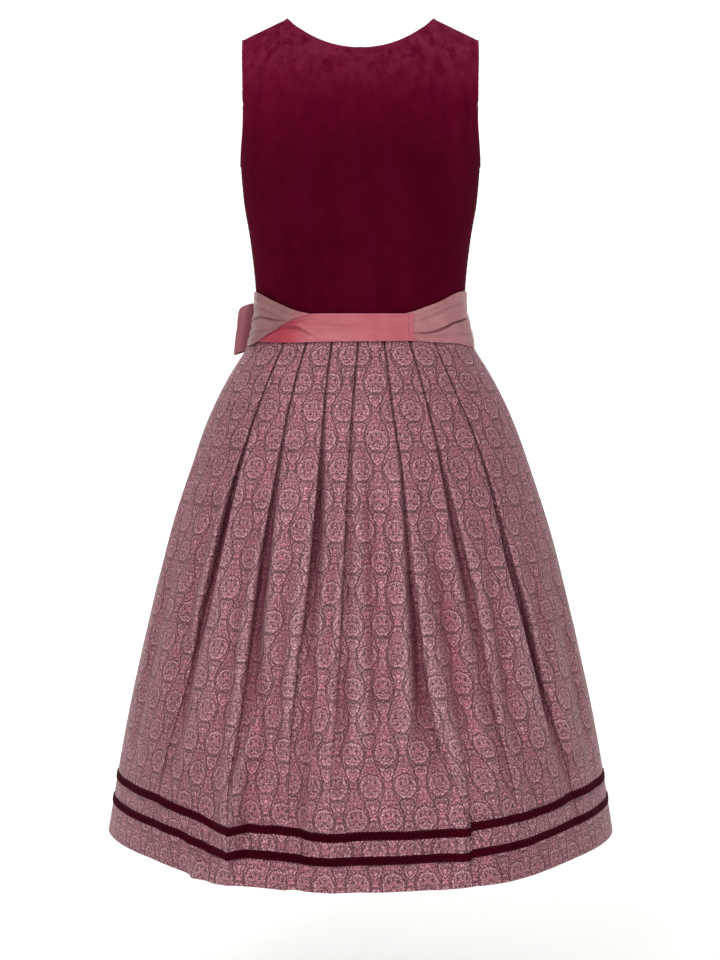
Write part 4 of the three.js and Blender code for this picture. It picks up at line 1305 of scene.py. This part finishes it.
bow = {
    "angle": 222.0, "height": -372.5, "halfWidth": 15.0, "halfHeight": 18.5, "halfDepth": 8.0,
    "lift": 6.1, "knotLean": 0.5, "knotSides": 72, "loopLean": 0.12, "loopLength": 56.0, "loopPinch": 0.9,
    "tailLength": 430.0, "tailHalfTop": 9, "tailHalfHem": 32, "tailWaves": 1.6, "tailWall": 1.0,
}
bowOut = outward(np.array(bow["angle"]), 133.0, 93.0)
bowAlong = np.array([bowOut[1], -bowOut[0], 0.0])
bowCentre = dressPoint(bow["angle"], bow["height"], bow["lift"] + bow["halfDepth"])


def bowPoint(along, out, up, lean):
    along, out, up = together(along, out, up)
    place = bowCentre + along[..., None] * bowAlong + (out + lean * np.maximum(0, -up))[..., None] * bowOut
    return np.concatenate([place[..., :2], (bow["height"] + up)[..., None]], -1)


# Closed body through rings of points, with a cap at each end.
def closedTube(name, rings, uvs):
    count, sides = rings.shape[:2]
    points = np.concatenate([rings.reshape(-1, 3), rings[:1].mean(axis=1), rings[-1:].mean(axis=1)])
    k, i = np.meshgrid(np.arange(count - 1), np.arange(sides), indexing="ij")
    n = (i + 1) % sides
    quads = np.stack([k * sides + i, k * sides + n, (k + 1) * sides + n, (k + 1) * sides + i], -1)
    quads = quads.reshape(-1, 4)
    u = uvs[0][np.stack([i, i + 1, i + 1, i], -1)]
    v = uvs[1][np.stack([k, k, k + 1, k + 1], -1)]
    corners = np.stack([u, v], -1).reshape(-1, 4, 2)
    ends = []
    for ring, hub, turn in ((0, count * sides, 1), (count - 1, count * sides + 1, -1)):
        for a in range(0, sides, 2):
            b, c = (a + 1) % sides, (a + 2) % sides
            ends.append([hub, ring * sides + c, ring * sides + b, ring * sides + a][:: turn])
    ends = np.array(ends)
    corners = np.concatenate([corners, np.zeros((len(ends), 4, 2))])
    return buildMesh(name, points, np.concatenate([quads, ends]), corners)


def bowKnot():
    sides = bow["knotSides"]
    shares = np.concatenate([[-1], np.linspace(-0.985, 0.985, 41), [1]])
    turn = 2 * np.pi * np.arange(sides) / sides
    swell = 0.70 + 0.28 * np.sqrt(np.maximum(0, 1 - np.abs(shares) ** 2.6))
    swell[[0, -1]] = 0.55

    def squared(value):
        return np.sign(value) * np.abs(value) ** 0.62

    folds = 0.55 * np.cos(3 * turn[None, :] + 1.5 * shares[:, None]) ** 3
    along = (bow["halfWidth"] * swell[:, None] - 0.4) * squared(np.cos(turn))[None, :]
    folds = folds * (np.sin(turn) > 0)[None, :]
    out = (bow["halfDepth"] * swell[:, None] + folds) * squared(np.sin(turn))[None, :]
    rings = bowPoint(along, out, (bow["halfHeight"] * shares)[:, None], bow["knotLean"])
    u = np.linspace(0, 0.075, sides + 1)
    piece = closedTube("bow_knot_wrap", rings, (u, bow["halfHeight"] * shares * mm))
    finish(piece, satins["bow"], "bow_knot")


loopRows = table(
    "step along out half drop",
    (0, 0, 4.5, 15, 0), (1, 0.2, 9, 19, -0.5), (2, 0.45, 15, 26, -2), (3, 0.7, 17, 31, -4),
    (4, 0.9, 14, 33, -4.5), (5, 1, 6, 33, -3.5), (6, 0.96, -1, 32.5, -1.5), (7, 0.8, -5, 31.5, -0.2),
    (8, 0.55, -6, 28, 0), (9, 0.3, -5, 22, 0), (10, 0, -4, 15, 0),
)


def bowLoop(name, node, sign):
    steps = np.linspace(0, 10, 101)
    start = bow["halfWidth"] - 0.05
    path = np.stack([through(loopRows, column, steps) for column in ("along", "out", "half", "drop")], -1)
    along = start + path[:, 0] * bow["loopLength"]
    heading = np.gradient(np.stack([along, path[:, 1]], -1), axis=0)
    heading /= np.linalg.norm(heading, axis=1, keepdims=True)
    heights = np.linspace(-1, 1, 33)
    spread = heights[None, :]
    upper = np.maximum(0, spread)
    reach, half = path[:, 0:1], path[:, 2:3]
    gathered = bow["loopPinch"] * (1 - smoothstep(reach, 0.05, 0.75)) * np.cos(7.5 * spread + 0.6 * sign)
    soft = 0.35 * ripple(spread * 4 + steps[:, None] * 0.5, steps[:, None], 0.7 * sign)

    def surface(offset):
        off = offset + gathered * 0.6 + soft
        x = along[:, None] - heading[:, 1:2] * off
        y = path[:, 1:2] + heading[:, 0:1] * off
        slant = 0.085 * spread * half * reach + 5 * upper**8 * reach
        up = path[:, 3:4] + spread * half - 4 * upper**2 * reach**4
        return bowPoint(sign * np.maximum(start, x - slant), y, up, bow["loopLean"])

    outer = surface(0.5)
    piece = clothShell(name, outer, surface(-0.5))
    finish(piece, satins["bow"], node)


def bowTail(name, node, lean, slant, lift):
    downs = np.linspace(0, 1, 120)[None, :]
    across = np.linspace(-1, 1, 41)[:, None]
    top = body["waistHeight"] - (bow["height"] - bow["halfHeight"]) + 0.3
    across, down = np.broadcast_arrays(across, downs)
    drop = top + down * (bow["tailLength"] + slant * across)
    halfWidth = lerp(bow["tailHalfTop"], bow["tailHalfHem"], smoothstep(down, 0, 0.45))
    radius = through(skirtRows, "halfWidth", drop)
    middle = bow["angle"] + lean * smoothstep(down, 0, 0.8)
    waves = 0.5 + 0.5 * np.cos(6.5 * across + lean)
    waves = 3 * np.abs(across) * (1 - down) + bow["tailWaves"] * waves * lerp(1.0, 0.6, down)
    off = lerp(lift, lift + 7, smoothstep(down, 0, 0.5)) + waves + 0.7 * ripple(across * 2.4, drop / 45, lean)
    outer = skirtForm(middle + across * halfWidth / (radius * np.pi / 180), drop, off + 1.2)
    piece = wall(name, outer, bow["tailWall"], 0.3)
    finish(piece, satins["bow"], node)


bowKnot()
bowLoop("bow_loop_side_cloth", "bow_loop_side", -1)
bowLoop("bow_loop_front_cloth", "bow_loop_front", 1)
bowTail("bow_tail_outer_cloth", "bow_tail_outer", 5, 12, 11.5)
bowTail("bow_tail_inner_cloth", "bow_tail_inner", -7, -12, 7.5)
print("stage: bow")

view = {
    "distance": 2.55, "height": -0.3775, "focalPixels": 1992.0, "horizonPixels": 150.0,
    "side": -0.000512, "sensor": 36.0, "picturePixels": 960, "clip": (0.1, 60),
    "floorBelow": 0.3, "floorStart": -7.0, "floorEnd": 4.4, "floorHalf": 9.0, "bend": 1.2, "bendSteps": 24,
    "wallTop": 7.0, "backdrop": "f4f3f1", "glow": 0.16, "world": 0.45,
}
lights = {
    "key": {"place": (-1.2, -3.3, 1.1), "target": (0, 0, -0.5), "size": (1.3, 1.8), "power": 66},
    "fill": {"place": (2.3, -2.8, 0.1), "target": (0, 0, -0.6), "size": (2.0, 2.6), "power": 18},
    "top": {"place": (0.0, -0.8, 2.2), "target": (0, 0, -0.4), "size": (2.4, 2.0), "power": 22},
    "behind": {"place": (0.0, 2.0, 3.0), "target": (0, 5.6, -0.9), "size": (4.0, 1.6), "power": 120},
}
camera = bpy.data.objects.new("camera", bpy.data.cameras.new("camera"))
bpy.context.scene.collection.objects.link(camera)
bpy.context.scene.camera = camera
camera.data.sensor_fit = "AUTO"
camera.data.sensor_width = view["sensor"]
camera.data.lens = view["sensor"] * view["focalPixels"] / view["picturePixels"]
tilt = math.atan(view["horizonPixels"] / view["focalPixels"])
camera.location = (view["side"], -view["distance"], view["height"])
camera.rotation_euler = (math.pi / 2 - tilt, 0, 0)
camera.data.clip_start, camera.data.clip_end = view["clip"]


# Pale floor that curves up behind the dress.
def backdrop():
    s = Shade("backdrop")
    s.set(
        Base_Color=colour(view["backdrop"]), Roughness=0.9, Emission_Color=colour("ffffff"),
        Emission_Strength=view["glow"],
    )
    low = (body["waistHeight"] - body["skirtDrop"]) * mm - view["floorBelow"]
    turn = np.linspace(0, math.pi / 2, view["bendSteps"])
    bend = view["bend"]
    profile = [(view["floorStart"], low), (view["floorEnd"], low)]
    profile += [(view["floorEnd"] + bend * math.sin(t), low + bend * (1 - math.cos(t))) for t in turn[1:]]
    profile += [(view["floorEnd"] + bend, view["wallTop"])]
    xs = np.array([-view["floorHalf"], view["floorHalf"]])
    points = np.array([(x * 1000, y * 1000, z * 1000) for x in xs for y, z in profile])
    n = len(profile)
    faces = np.array([[j, n + j, n + j + 1, j + 1] for j in range(n - 1)])
    floor = buildMesh("floor", points, faces, np.zeros((len(faces), 4, 2)))
    floor.data.materials.append(s.material)


def softLight(name, place, target, size, power):
    lamp = bpy.data.lights.new(name, "AREA")
    lamp.shape = "RECTANGLE"
    lamp.size, lamp.size_y = size
    lamp.energy = power
    holder = bpy.data.objects.new(name, lamp)
    holder.location = place
    holder.rotation_euler = (Vector(target) - Vector(place)).to_track_quat("-Z", "Y").to_euler()
    bpy.context.scene.collection.objects.link(holder)


backdrop()
for name, light in lights.items():
    softLight(name, **light)
world = bpy.data.worlds.new("studio")
world.use_nodes = True
world.node_tree.nodes["Background"].inputs[0].default_value = (1, 1, 1, 1)
world.node_tree.nodes["Background"].inputs[1].default_value = view["world"]
bpy.context.scene.world = world
bpy.context.scene.view_settings.view_transform = "Standard"
print("stage: studio")
